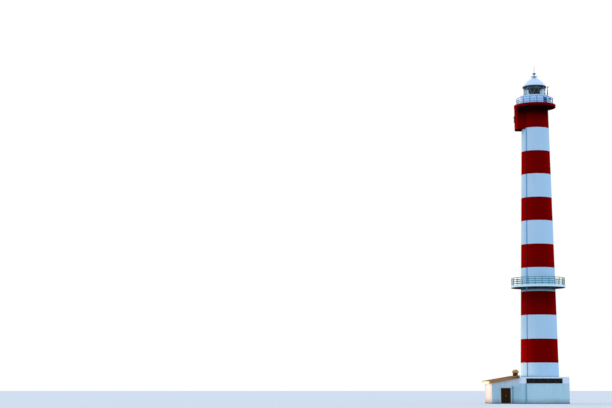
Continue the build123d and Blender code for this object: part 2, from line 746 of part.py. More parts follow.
def make_cowl():
    """Mushroom ventilator between two seams: a neck cut to the roof's slope under a domed cap."""
    sheet = COWL_SHEET
    top = roof_z(COWL_X) + COWL_TALL
    rim = top - COWL_CAP_TALL
    base = roof_z(COWL_X - COWL_CAP_R)
    outside = cap_arc(COWL_CAP_R, rim + sheet, top)
    inside = cap_arc(COWL_CAP_R - sheet, rim + sheet, top - sheet)
    crown = Line((0, 0, top), (0, 0, top - sheet))
    neck = Polyline(
        (COWL_CAP_R - sheet, 0, rim + sheet),
        (COWL_NECK_R - sheet, 0, rim + sheet),
        (COWL_NECK_R - sheet, 0, base),
        (COWL_NECK_R, 0, base),
        (COWL_NECK_R, 0, rim),
        (COWL_CAP_R, 0, rim),
        (COWL_CAP_R, 0, rim + sheet),
    )
    cowl = revolve(make_face([outside, crown, inside, neck]), Axis.Z)
    y = -HALF_DEPTH - VERGE_OUT + SEAM_WIDE / 2 + (COWL_BAY + 0.5) * seam_pitch()
    return Pos(COWL_X, y, 0) * cowl & above_roof()


def make_pipes():
    """Hopper head with its pipe, and the pipe beside the strip window, each clipped to the wall."""
    centre_y = -HALF_DEPTH - PIPE_OFF - PIPE_R
    pipes = []
    hopper_low = HOPPER_TOP - HOPPER_TALL
    first = upright(PIPE_R, 0, hopper_low + HOPPER_TALL / 3, HOPPER_X, centre_y)
    head_y0 = -HALF_DEPTH - 2 * PIPE_R - 2 * PIPE_OFF
    mouth = Rectangle(HOPPER_WIDE, -HALF_DEPTH - head_y0)
    outlet = Rectangle(2 * PIPE_R, 2 * PIPE_R)
    top = Location((HOPPER_X, (head_y0 - HALF_DEPTH) / 2, HOPPER_TOP)) * mouth
    bottom = Location((HOPPER_X, centre_y, hopper_low)) * outlet
    first += loft([bottom, top])
    second = upright(PIPE_R, 0, STRIP_SILL, SIDE_PIPE_X, centre_y)
    for pipe, x, high in ((first, HOPPER_X, hopper_low), (second, SIDE_PIPE_X, STRIP_SILL)):
        for share in PIPE_CLIP_SHARES:
            z = high * share
            pipe += block(x - PIPE_CLIP_HALF, x + PIPE_CLIP_HALF, centre_y, -HALF_DEPTH, z, z + PIPE_R)
        pipes.append(pipe)
    return Compound(pipes)


def make_lamp():
    """Small lamp on a stalk that stands on the upper gallery, inside its railing."""
    radius = DRUM_R + LAMP_FROM_DRUM
    top = DECK + STALK_TALL
    stalk = upright(STALK_R, DECK, top, radius, 0)
    drum = Location((radius, 0, top), (0, LAMP_TILT, 0)) * Cylinder(LAMP_R, LAMP_LONG)
    return faced(LAMP_ANGLE) * (stalk + drum)


def make_foot():
    """Floor and base course, exactly as large as the walls' outline."""
    return block(-WING_END, BLOCK_HALF, -HALF_DEPTH, HALF_DEPTH, 0, FLOOR_TOP)


def make_doorstep():
    """Concrete step in front of the double door."""
    return block(
        DOOR_LEFT - STEP_SIDE,
        DOOR_RIGHT + STEP_SIDE,
        -HALF_DEPTH - STEP_OUT,
        -HALF_DEPTH,
        0,
        STEP_TALL,
    )


frames, panes = make_windows()
nodes = {
    "foot_slab": make_foot(),
    "doorstep": make_doorstep(),
    "party_beam": make_party_beam(),
    "wing_roof": make_wing_roof(),
    "wing_fascia": make_wing_fascia(),
    "roof_cowl": make_cowl(),
    "door_frame": make_door_frame(),
    "door_leaf_left": make_leaf(-1),
    "door_leaf_right": make_leaf(1),
    "rainwater_pipes": make_pipes(),
    "block_roof": make_block_roof(),
    "window_frames": frames,
    "window_glass": panes,
    "mid_gallery_slab": make_mid_slab(),
    "mid_gallery_railing": make_railing(MID_RAIL_R, MID_SLAB_TOP, MID_RAIL_HEIGHT, MID_RAILS, MID_POSTS, 0),
    "upper_gallery_slab": make_upper_slab(),
    "upper_gallery_railing": make_railing(
        UPPER_RAIL_R, DECK, UPPER_RAIL_HEIGHT, UPPER_RAILS, UPPER_POSTS, UPPER_RAIL_TURN
    ),
    "cable_duct": make_duct(),
    "lantern_drum": tube(DRUM_R, DRUM_R - DRUM_WALL, DECK, DRUM_TOP) - drum_door_space(SEAT),
    "drum_door": drum_door_space(0),
    "lantern_ledge": tube(LEDGE_R, LANTERN_CLEAR_R, DRUM_TOP, LEDGE_TOP),
    "glazing_bars": make_glazing_bars(),
    "lantern_glass": make_glass(),
    "lens": make_lens(),
    "lantern_eave": make_eave(),
    "lantern_roof": make_lantern_roof(),
    "vent_cap": make_vent_cap(),
    "finial": make_finial(),
    "wind_mast": make_mast(),
    "gallery_lamp": make_lamp(),
}
nodes.update(make_shaft())
nodes.update(make_chamber())
nodes.update(make_wing_walls())
nodes.update(make_block_walls())

os.makedirs("parts", exist_ok=True)
for name, solid in nodes.items():
    export_step(solid, f"parts/{name}.step")
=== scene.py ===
"""Dresses the half-size striped lighthouse: finishes, railings, fittings, the studio and the camera."""

import logging
import math
from contextlib import contextmanager
from dataclasses import dataclass
from enum import Enum
from typing import Callable, Iterable, Iterator, Optional, Sequence

import bpy
from mathutils import Matrix, Vector


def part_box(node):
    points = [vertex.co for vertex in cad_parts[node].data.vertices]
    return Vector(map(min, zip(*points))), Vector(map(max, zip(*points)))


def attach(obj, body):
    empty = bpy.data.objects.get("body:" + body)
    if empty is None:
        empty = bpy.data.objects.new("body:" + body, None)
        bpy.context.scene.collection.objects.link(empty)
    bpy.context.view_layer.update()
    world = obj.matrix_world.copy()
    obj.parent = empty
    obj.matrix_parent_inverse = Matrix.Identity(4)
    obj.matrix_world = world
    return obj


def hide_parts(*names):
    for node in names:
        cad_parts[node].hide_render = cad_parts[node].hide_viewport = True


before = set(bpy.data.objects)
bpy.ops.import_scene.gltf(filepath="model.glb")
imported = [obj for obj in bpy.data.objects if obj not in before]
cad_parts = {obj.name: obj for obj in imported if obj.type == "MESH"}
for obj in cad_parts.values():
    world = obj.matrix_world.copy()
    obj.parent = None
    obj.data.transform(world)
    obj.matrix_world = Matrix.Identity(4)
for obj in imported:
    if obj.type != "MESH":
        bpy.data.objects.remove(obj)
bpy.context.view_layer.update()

log = logging.getLogger("lighthouse")
ROOT = "root"
# Share of the paint that painted shade hides where it is deepest.
DEEPEST_PAINTED_SHADE = 0.97
# Upper part of the painted shade under a slab where it is deepest.
FULL_SHADE_PART = 0.3
# A hair's breadth in metres, to tell a slab's underside from the wall below it.
HAIR = 0.001
# Faces that meet at less than this many degrees are shaded as one curve.
CURVE_UNDER = 40


def linear(hex_colour: str) -> tuple[float, float, float, float]:
    """Turn an sRGB hex colour into linear RGBA.

    Args:
        hex_colour: six hex digits.

    Returns:
        The colour in linear light, with alpha 1.
    """
    parts = [int(hex_colour[i:i + 2], 16) / 255 for i in (0, 2, 4)]
    red, green, blue = [c / 12.92 if c <= 0.04045 else ((c + 0.055) / 1.055) ** 2.4 for c in parts]
    return red, green, blue, 1.0


def feed(node: bpy.types.Node, **inputs: object) -> None:
    """Set or link a node's inputs.

    Args:
        node: the node.
        **inputs: a socket's name, with _ for a space, or i and its number, to a value or an output socket.
    """
    for key, value in inputs.items():
        by_number = key[0] == "i" and key[1:].isdigit()
        socket = node.inputs[int(key[1:])] if by_number else node.inputs[key.replace("_", " ")]
        if isinstance(value, bpy.types.NodeSocket):
            node.id_data.links.new(value, socket)
        else:
            socket.default_value = value


def add(
    tree: bpy.types.NodeTree, kind: str, settings: Optional[dict[str, object]] = None, **inputs: object,
) -> bpy.types.Node:
    """Add one shader node.

    Args:
        tree: the material's or world's node tree.
        kind: the node's type name.
        settings: properties set on the node itself.
        **inputs: its inputs, as feed takes them.

    Returns:
        The new node.
    """
    node = tree.nodes.new(kind)
    for key, value in (settings or {}).items():
        setattr(node, key, value)
    feed(node, **inputs)
    return node


def per_metre(millimetres: float) -> float:
    """Pattern scale, in repeats per metre, of a feature of a real size."""
    return 1000.0 / millimetres


class Web:
    """A node tree with short calls for what all finishes use.

    Attributes:
        tree: the node tree.
        place: object coordinates, in metres.
    """

    def __init__(self, tree: bpy.types.NodeTree) -> None:
        """Wrap a node tree and add its object coordinates."""
        self.tree = tree
        self.place = add(tree, "ShaderNodeTexCoord").outputs["Object"]

    def noise(
        self, millimetres: float, detail: float = 4.0, stretch: Optional[Sequence[float]] = None,
        rough: float = 0.5,
    ) -> bpy.types.NodeSocket:
        """Add cloudy noise.

        Args:
            millimetres: size of one blob.
            detail: number of finer layers.
            stretch: scale along X, Y and Z, under 1 for longer marks.
            rough: weight of the finer layers.

        Returns:
            The noise's value socket.
        """
        place = self.place
        if stretch:
            place = add(self.tree, "ShaderNodeMapping", Vector=place, Scale=tuple(stretch)).outputs["Vector"]
        node = add(
            self.tree, "ShaderNodeTexNoise", Vector=place, Scale=per_metre(millimetres), Detail=detail,
            Roughness=rough,
        )
        return node.outputs["Fac"]

    def span(
        self, value: bpy.types.NodeSocket, low: float, high: float, to_low: float = 0.0, to_high: float = 1.0,
    ) -> bpy.types.NodeSocket:
        """Map a value's range to another, held at both ends.

        Args:
            value: the value.
            low: start of its range, which may be the higher number.
            high: end of its range.
            to_low: what the start becomes.
            to_high: what the end becomes.

        Returns:
            The mapped value.
        """
        node = add(
            self.tree, "ShaderNodeMapRange",
            Value=value, From_Min=low, From_Max=high, To_Min=to_low, To_Max=to_high,
        )
        return node.outputs["Result"]

    def math(self, kind: str, first: object, second: object = 0.0) -> bpy.types.NodeSocket:
        """Join two values by a named operation."""
        return add(self.tree, "ShaderNodeMath", {"operation": kind}, i0=first, i1=second).outputs["Value"]

    def times(self, first: object, second: object) -> bpy.types.NodeSocket:
        """Multiply two values."""
        return self.math("MULTIPLY", first, second)

    def mix(self, share: object, first: object, second: object) -> bpy.types.NodeSocket:
        """Mix two colours by a share."""
        return add(self.tree, "ShaderNodeMixRGB", Fac=share, Color1=first, Color2=second).outputs["Color"]

    def along(self, axis: str) -> bpy.types.NodeSocket:
        """Place along X, Y or Z, in metres."""
        return add(self.tree, "ShaderNodeSeparateXYZ", Vector=self.place).outputs[axis]

    def height(self) -> bpy.types.NodeSocket:
        """Height in metres, 0 at the building's foot."""
        return self.along("Z")

    def from_axis(self) -> bpy.types.NodeSocket:
        """Measure the distance from the tower's axis.

        Returns:
            The distance, in metres.
        """
        level = add(
            self.tree, "ShaderNodeVectorMath", {"operation": "MULTIPLY"}, i0=self.place, i1=(1.0, 1.0, 0.0),
        ).outputs["Vector"]
        size = add(self.tree, "ShaderNodeVectorMath", {"operation": "LENGTH"}, i0=level)
        return size.outputs["Value"]

    def normal(self, axis: str) -> bpy.types.NodeSocket:
        """The surface normal's part along X, Y or Z."""
        normal = add(self.tree, "ShaderNodeNewGeometry").outputs["Normal"]
        return add(self.tree, "ShaderNodeSeparateXYZ", Vector=normal).outputs[axis]

    def facing_down(self) -> bpy.types.NodeSocket:
        """1 on undersides and 0 elsewhere."""
        return self.span(self.normal("Z"), -0.35, -0.75)

    def facing_up(self) -> bpy.types.NodeSocket:
        """1 on level tops and 0 elsewhere."""
        return self.span(self.normal("Z"), 0.7, 0.9)

    def facing_sideways(self) -> bpy.types.NodeSocket:
        """1 on walls that face along X and 0 on those that face along Y."""
        return self.span(self.math("ABSOLUTE", self.normal("X")), 0.45, 1.0)

    def bump(self, value: bpy.types.NodeSocket, strength: float, metres: float) -> bpy.types.NodeSocket:
        """Turn a value into a surface relief."""
        node = add(self.tree, "ShaderNodeBump", Height=value, Strength=strength, Distance=metres)
        return node.outputs["Normal"]


@dataclass(frozen=True)
class Finish:
    """What all finishes share.

    Attributes:
        name: real material and how it was made.
        colour: main colour, sRGB hex.
    """

    name: str
    colour: str

    def start(self) -> tuple[bpy.types.Material, Web, bpy.types.Node]:
        """Make the empty material with its shader and output.

        Returns:
            The material, its web of nodes and its Principled shader.
        """
        material = bpy.data.materials.new(self.name)
        material.use_nodes = True
        tree = material.node_tree
        tree.nodes.clear()
        shader = add(tree, "ShaderNodeBsdfPrincipled")
        add(tree, "ShaderNodeOutputMaterial", Surface=shader.outputs["BSDF"])
        return material, Web(tree), shader

    def tinted(self, web: Web, value: float, saturation: float = 1.0) -> bpy.types.NodeSocket:
        """Make the main colour lighter or darker.

        Args:
            web: the material's nodes.
            value: factor on its brightness.
            saturation: factor on its strength.

        Returns:
            The changed colour.
        """
        node = add(
            web.tree, "ShaderNodeHueSaturation",
            Value=value, Saturation=saturation, Color=linear(self.colour),
        )
        return node.outputs["Color"]


@dataclass(frozen=True)
class MasonryPaint(Finish):
    """Rolled masonry paint: matt and a little uneven, with long rain streaks, and painted shade that makes
    undersides black.

    Attributes:
        streak: colour of the rain streaks.
        streak_share: how far the streaks cover the paint, 0 to 1.
        soffit: colour of the painted shade on undersides and on the wall just under a slab.
        rim: radius in metres beyond which an underside has no painted shade, or 0.
        shade_top: height in metres of the slab underside below which the painted shade fades out, or 0.
        shade_deep: how far below the slab the painted shade reaches, metres.
        shade_share: how far it covers the paint, 0 to 1.
        shade_open: how far the sunlit walls that face along X stay free of the painted shade, 0 to 1.
        deck: colour of the bare tops that are walked on, or empty.
        grime: colour of the splash zone at the walls' foot.
        grime_top: height in metres where that zone ends, or 0.
        painted_sunlight: colour of painted sunlight on the sides that face along X, or empty.
        fresh: colour of a newer coat above a height, or empty.
        fresh_from: height in metres where the newer coat begins.
        fresh_soft: height over which the newer coat thins out, metres.
        worn: colour of an older coat on the wing's side, or empty.
        worn_to: place along X in metres where the older coat ends.
    """

    streak: str = "7d8a94"
    streak_share: float = 0.25
    soffit: str = "0b151d"
    rim: float = 0.0
    shade_top: float = 0.0
    shade_deep: float = 0.45
    shade_share: float = DEEPEST_PAINTED_SHADE
    shade_open: float = 0.0
    deck: str = ""
    grime: str = "55564e"
    grime_top: float = 0.0
    painted_sunlight: str = ""
    fresh: str = ""
    fresh_from: float = 0.0
    fresh_soft: float = 0.004
    worn: str = ""
    worn_to: float = 0.0

    def coated(self, web: Web, body: bpy.types.NodeSocket) -> bpy.types.NodeSocket:
        """Lay older and newer coats, and painted sunlight on the sides that face along X, beside the main
        one.

        Args:
            web: the material's nodes.
            body: colour of the main coat.

        Returns:
            The colour of all coats together.
        """
        # Painted sunlight: sides that face along X are lighter.
        if self.painted_sunlight:
            body = web.mix(web.facing_sideways(), body, linear(self.painted_sunlight))
        if self.worn:
            body = web.mix(web.math("LESS_THAN", web.along("X"), self.worn_to), body, linear(self.worn))
        if self.fresh:
            low, high = self.fresh_from - self.fresh_soft, self.fresh_from + self.fresh_soft
            edge = web.span(web.height(), low, high)
            body = web.mix(edge, body, linear(self.fresh))
        return body

    def streaked(self, web: Web, body: bpy.types.NodeSocket) -> bpy.types.NodeSocket:
        """Draw rain streaks down the paint, denser in some places.

        Args:
            web: the material's nodes.
            body: colour of the paint.

        Returns:
            The colour with the streaks.
        """
        runs = web.span(web.noise(90.0, stretch=(1.0, 1.0, 0.035)), 0.5, 0.78)
        here = web.span(web.noise(1300.0, detail=2.0), 0.42, 0.68)
        return web.mix(web.times(web.times(runs, here), self.streak_share), body, linear(self.streak))

    def with_painted_shade(
        self, web: Web, body: bpy.types.NodeSocket, cloud: bpy.types.NodeSocket,
    ) -> bpy.types.NodeSocket:
        """Lay painted shade over the wall under a slab and over undersides.

        Args:
            web: the material's nodes.
            body: colour of the paint.
            cloud: noise that thins the painted shade in places.

        Returns:
            The colour with the painted shade.
        """
        # Painted shade on the wall just under a slab, deepest near the slab and lighter on sunlit walls that
        # face along X.
        if self.shade_top:
            foot = self.shade_top - self.shade_deep
            full = self.shade_top - FULL_SHADE_PART * self.shade_deep
            below = web.span(web.height(), foot, full, 0.0, self.shade_share)
            under = web.times(below, web.math("LESS_THAN", web.height(), self.shade_top - HAIR))
            if self.shade_open:
                shut = web.span(web.facing_sideways(), 0.75, 1.0, 1.0, 1.0 - self.shade_open)
                under = web.times(under, shut)
            thinned = web.times(under, web.span(cloud, 0.2, 0.6, 0.88, 1.0))
            body = web.mix(thinned, body, linear(self.soffit))
        # Painted shade on all undersides, left out beyond the rim.
        soffit_shade = web.times(web.facing_down(), DEEPEST_PAINTED_SHADE)
        if self.rim:
            soffit_shade = web.times(soffit_shade, web.math("LESS_THAN", web.from_axis(), self.rim))
        return web.mix(soffit_shade, body, linear(self.soffit))

    def build(self) -> bpy.types.Material:
        """Make the material.

        Returns:
            The material.
        """
        material, web, shader = self.start()
        cloud = web.noise(700.0, detail=5.0)
        body = self.coated(web, web.mix(cloud, linear(self.colour), self.tinted(web, 1.07)))
        body = self.with_painted_shade(web, self.streaked(web, body), cloud)
        if self.deck:
            body = web.mix(web.facing_up(), body, linear(self.deck))
        if self.grime_top:
            wavy = web.math("ADD", web.height(), web.times(cloud, -0.25))
            body = web.mix(web.span(wavy, -0.1, self.grime_top, 0.5, 0.0), body, linear(self.grime))
        # Roller stipple is 2 to 3 mm in reality and is drawn at 14 mm, so that it shows.
        stipple = web.bump(web.noise(14.0, detail=3.0), strength=0.35, metres=0.003)
        feed(shader, Base_Color=body, Normal=stipple, Roughness=0.9, Specular_IOR_Level=0.0)
        return material


@dataclass(frozen=True)
class BandedPaint(Finish):
    """Gloss paint that follows the shaft's bands, so that a fitting sinks into them.

    Attributes:
        other: colour over the red bands.
        first: height in metres of the lowest red band's foot.
        pitch: height in metres of one band.
        shade: colour in the shade under the upper gallery.
        shade_from: height in metres where that shade begins.
        shade_full: height in metres where it is deepest.
        dust: colour of the dust on the paint.
    """

    other: str = "700002"
    first: float = 2.51
    pitch: float = 1.477
    shade: str = "020000"
    shade_from: float = 17.65
    shade_full: float = 18.35
    dust: str = "2b3138"

    def build(self) -> bpy.types.Material:
        """Make the material.

        Returns:
            The material.
        """
        material, web, shader = self.start()
        steps = web.times(web.math("SUBTRACT", web.height(), self.first), 1 / self.pitch)
        odd = web.math("ABSOLUTE", web.math("MODULO", web.math("FLOOR", steps), 2.0))
        body = web.mix(odd, linear(self.other), linear(self.colour))
        # Painted shade under the upper gallery.
        under = web.span(web.height(), self.shade_from, self.shade_full, 0.0, DEEPEST_PAINTED_SHADE)
        body = web.mix(under, body, linear(self.shade))
        dusty = web.span(web.noise(120.0, detail=5.0), 0.45, 0.75, 0.0, 0.12)
        body = web.mix(dusty, body, linear(self.dust))
        feed(shader, Base_Color=body, Roughness=0.7, Specular_IOR_Level=0.05)
        return material


@dataclass(frozen=True)
class SteelPaint(Finish):
    """Brushed gloss paint on galvanised steel: a soft shine, with rust where the paint has lifted.

    Attributes:
        rust_share: how much of the surface has rusted, 0 to 1.
        roughness: roughness of the sound paint.
        shade_below: height in metres below which painted shade darkens the paint, or 0.
        shade_above: height in metres above which painted shade darkens it, or 0.
        painted_sunlight: colour of painted sunlight on the faces along X, or empty.
        rust: colour of the rust.
        shade_tone: colour of the painted shade.
    """

    rust_share: float = 0.12
    roughness: float = 0.42
    shade_below: float = 0.0
    shade_above: float = 0.0
    painted_sunlight: str = ""
    rust: str = "6b3a1e"
    shade_tone: str = "1c1413"

    def with_height_shade(self, web: Web, paint: bpy.types.NodeSocket) -> bpy.types.NodeSocket:
        """Lay painted shade over the paint below or above a height.

        Args:
            web: the material's nodes.
            paint: colour of the paint.

        Returns:
            The colour with the painted shade.
        """
        if self.shade_below:
            low = web.span(web.height(), self.shade_below - 0.03, self.shade_below, 0.95, 0.0)
            paint = web.mix(low, paint, linear(self.shade_tone))
        if self.shade_above:
            high = web.span(web.height(), self.shade_above, self.shade_above + 0.08, 0.0, 0.8)
            paint = web.mix(high, paint, linear(self.shade_tone))
        return paint

    def build(self) -> bpy.types.Material:
        """Make the material.

        Returns:
            The material.
        """
        material, web, shader = self.start()
        # Noise over the edge rusts, and a larger share lowers the edge.
        edge = 0.76 - 0.3 * self.rust_share
        rusted = web.span(web.noise(60.0, detail=6.0, rough=0.65), edge, edge + 0.04)
        paint = web.mix(web.noise(350.0, detail=3.0), linear(self.colour), self.tinted(web, 0.86, 0.9))
        # Painted sunlight: faces along X are lighter.
        if self.painted_sunlight:
            paint = web.mix(web.facing_sideways(), paint, linear(self.painted_sunlight))
        # Rust, then painted shade below or above a height.
        paint = self.with_height_shade(web, web.mix(rusted, paint, linear(self.rust)))
        rough = web.span(rusted, 0.0, 1.0, self.roughness, 0.85)
        lifted = web.bump(rusted, strength=0.3, metres=0.002)
        feed(shader, Base_Color=paint, Roughness=rough, Normal=lifted, Specular_IOR_Level=0.35)
        return material


@dataclass(frozen=True)
class CastConcrete(Finish):
    """Bare floated concrete: matt, cloudy grey, with fine grains of sand."""

    def build(self) -> bpy.types.Material:
        """Make the material.

        Returns:
            The material.
        """
        material, web, shader = self.start()
        tone = web.mix(web.noise(240.0, detail=7.0), self.tinted(web, 0.62), linear(self.colour))
        sand = add(web.tree, "ShaderNodeTexVoronoi", Vector=web.place, Scale=per_metre(12.0))
        grains = web.bump(sand.outputs["Distance"], strength=0.3, metres=0.002)
        feed(shader, Base_Color=tone, Normal=grains, Roughness=0.9)
        return material


@dataclass(frozen=True)
class StainedBoards(Finish):
    """Softwood boards under brown preservative stain: long grain, open and dull.

    Attributes:
        dark: colour of the late wood, sRGB hex.
    """

    dark: str = "1e1003"

    def build(self) -> bpy.types.Material:
        """Make the material.

        Returns:
            The material.
        """
        material, web, shader = self.start()
        # Grain lines are 3 mm apart in reality and are drawn at 9 mm, so that they show.
        grain = web.noise(9.0, detail=5.0, stretch=(1.0, 1.0, 0.06))
        wood = web.mix(grain, linear(self.dark), linear(self.colour))
        pores = web.bump(grain, strength=0.4, metres=0.001)
        feed(shader, Base_Color=wood, Normal=pores, Roughness=0.72, Specular_IOR_Level=0.08)
        return material


@dataclass(frozen=True)
class SheetGlass(Finish):
    """Float glass: clear, with a faint film of salt and dust that dulls it unevenly.

    Attributes:
        transmission: how much light goes through.
        roughness: roughness of the clean glass.
        film: roughness that the film adds where it is thickest.
        index: refractive index; lower where two faces of a thick pane would reflect too much.
    """

    transmission: float = 1.0
    roughness: float = 0.02
    film: float = 0.12
    index: float = 1.45

    def build(self) -> bpy.types.Material:
        """Make the material.

        Returns:
            The material.
        """
        material, web, shader = self.start()
        dull = web.span(web.noise(180.0), 0.0, 1.0, self.roughness, self.roughness + self.film)
        feed(
            shader, Base_Color=linear(self.colour), Roughness=dull, Transmission_Weight=self.transmission,
            IOR=self.index,
        )
        return material


@dataclass(frozen=True)
class BareMetal(Finish):
    """Drawn metal with fine scratches: bright where it is handled, dull in the grooves."""

    def build(self) -> bpy.types.Material:
        """Make the material.

        Returns:
            The material.
        """
        material, web, shader = self.start()
        tone = web.mix(web.noise(45.0, detail=5.0), linear(self.colour), self.tinted(web, 0.7))
        scratches = web.span(web.noise(8.0, detail=3.0), 0.0, 1.0, 0.25, 0.5)
        feed(shader, Base_Color=tone, Roughness=scratches, Metallic=1.0)
        return material


class Coat(Enum):
    """The object's finishes, one for each kind of real surface."""

    # Chalky pale blue-white of salt-worn paint in open shade, with painted shade under the middle gallery's
    # slab.
    WHITE_SHAFT = MasonryPaint(
        "masonry_paint_rolled_white", "bcd7e4", streak_share=0.2, shade_top=7.19, shade_deep=0.3,
    )
    # The same white, brighter on the slab that stands out into the light, with painted shade on its
    # underside.
    WHITE_SLAB = MasonryPaint("masonry_paint_rolled_white_slab", "dcf4f4", streak_share=0.15)
    # Deep red with painted shade that turns it nearly black on undersides and under the upper gallery, less
    # on walls facing along X, painted sunlight on sides facing along X, and that gallery's bare grey deck.
    RED_SHAFT = MasonryPaint(
        "masonry_paint_rolled_red", "7a0000", streak="3d0000", streak_share=0.4, soffit="020000", rim=1.23,
        shade_top=18.65, shade_deep=1.0, shade_open=0.85, painted_sunlight="a00200", deck="a3b0b6",
    )
    # The red band that lies in the middle gallery's shade, with painted shade near its top and painted
    # sunlight on sides that face along X.
    RED_SHADED = MasonryPaint(
        "masonry_paint_rolled_red_in_shade", "7a0000", streak="3d0000", streak_share=0.4, soffit="020000",
        shade_top=6.95, shade_deep=1.3, shade_share=0.4, painted_sunlight="a00200",
    )
    # Greyer wall paint with rain marks, a splash zone, and painted warm sunlight on the end wall and other
    # walls that face along X.
    WHITE_WALL = MasonryPaint(
        "masonry_paint_on_render_white", "b6d3d6", streak="70828c", streak_share=0.45, grime_top=0.2,
        painted_sunlight="e8d5cf", fresh="e4ecf2", fresh_from=1.15, fresh_soft=0.25,
    )
    # The same wall with a newer, brighter coat above the strip window's sill.
    WHITE_BLOCK = MasonryPaint(
        "masonry_paint_on_render_two_coats", "c7e2e4", streak="70828c", streak_share=0.4, grime_top=0.2,
        fresh="f0f8fb", fresh_from=1.23, worn="bfdde2", worn_to=-1.125,
    )
    # Gritty grey of the base and the doorstep.
    GREY_CONCRETE = CastConcrete("concrete_floated_grey", "6b6a66")
    # Faded brown sheet that has begun to rust.
    ROOF_SHEET = SteelPaint("folded_steel_sheet_painted_brown", "b47c38", rust_share=0.3, roughness=0.55)
    # The same sheet on the roof's edge boards, with painted pale sunlight at the eave's end and painted shade
    # near the ridge.
    ROOF_EDGE = SteelPaint(
        "folded_steel_edge_painted_brown", "b47c38", rust_share=0.3, roughness=0.55, painted_sunlight="f6e4b4",
        shade_above=1.52,
    )
    # Sunlit ochre cap over a neck darkened by painted shade.
    COWL_SHEET = SteelPaint("pressed_sheet_cowl_shaded_neck", "c68c30", rust_share=0.3, shade_below=1.9)
    # Dark boards with an open grain.
    DOOR_WOOD = StainedBoards("softwood_boards_stained_brown", "46290a")
    # Clean pale edge round the dark door.
    WHITE_TRIM = SteelPaint("steel_trim_painted_white", "c3d2d8", rust_share=0.08)
    # Wind mast and gallery lamp, dark against the light.
    DARK_PIPE = SteelPaint("steel_pipe_painted_dark", "2a3f4a", rust_share=0.2)
    # Blue-green rails of the middle gallery.
    GREEN_RAIL = SteelPaint("steel_pipe_painted_green", "007890", rust_share=0.03)
    # Posts of the middle gallery, weathered to a purer green.
    GREEN_POST = SteelPaint("steel_post_painted_green", "008a62", rust_share=0.15)
    # Mid-blue rails of the upper gallery.
    BLUE_RAIL = SteelPaint("steel_pipe_painted_mid_blue", "48a0e2", rust_share=0.03)
    # Dark blue posts between them.
    BLUE_POST = SteelPaint("steel_post_painted_dark_blue", "0046a4", rust_share=0.03)
    # Rainwater pipes in faded light blue.
    BLUE_PIPE = SteelPaint("cast_pipe_painted_faded_blue", "6aa8c0", rust_share=0.15)
    # Duct in the colours of the bands it crosses; over the white bands its grey-blue is darker than the
    # shaft's, a painted shadow line along it, and it has painted shade under the upper gallery.
    DUCT = BandedPaint("steel_duct_painted_in_bands", "7ba3cc")
    # Dark window frames that stand out little from their panes.
    WINDOW_FRAME = SteelPaint("aluminium_frame_weathered", "262c30", rust_share=0.0, roughness=0.5)
    # Bright white metal of the dome, its seams and the ledge.
    LANTERN_WHITE = SteelPaint("cast_iron_painted_white", "e2eff6", rust_share=0.03)
    # Nearly black eave, drum door and lens frame, with a hint of teal.
    LANTERN_DARK = SteelPaint("cast_iron_painted_dark_teal", "021020", rust_share=0.0, roughness=0.5)
    # Pale blue vent that stands out from the dome below it.
    VENT_BLUE = SteelPaint("sheet_metal_painted_pale_blue", "96bcd6", rust_share=0.0, roughness=0.45)
    # Darker blue of the ball under the rod.
    BALL_BLUE = SteelPaint("spun_metal_ball_painted_blue", "4c7b9c", rust_share=0.0, roughness=0.45)
    # White sheet of the drum, a touch bluer than the dome.
    DRUM_BLUE = SteelPaint("rolled_sheet_painted_pale_blue", "e2f4ff", rust_share=0.03)
    # Mid-tone bars that are lighter than the lens and darker than the daylight through the panes.
    LANTERN_BARS = SteelPaint("bronze_bars_painted_teal", "7098a6", rust_share=0.0, roughness=0.4)
    # Grey panes with a dark room behind them.
    WINDOW_GLASS = SheetGlass("float_glass_grey", "333d43", index=1.25)
    # Clear triangular panes.
    LANTERN_GLASS = SheetGlass("float_glass_clear", "c6deec", index=1.25)
    # Nearly black cut glass with a blue tinge.
    LENS = SheetGlass("cut_lens_glass", "010a14", transmission=0.05, roughness=0.3, index=1.3)
    # Handles of the double door, the one warm metal.
    BRASS = BareMetal("brass_drawn_and_tarnished", "8a6a34")
    # Bolts, screws, clips, collar, drum door fittings and the lightning cable.
    ZINC = BareMetal("zinc_plated_steel_dull", "9aa3a8")


Coats = dict[Coat, bpy.types.Material]

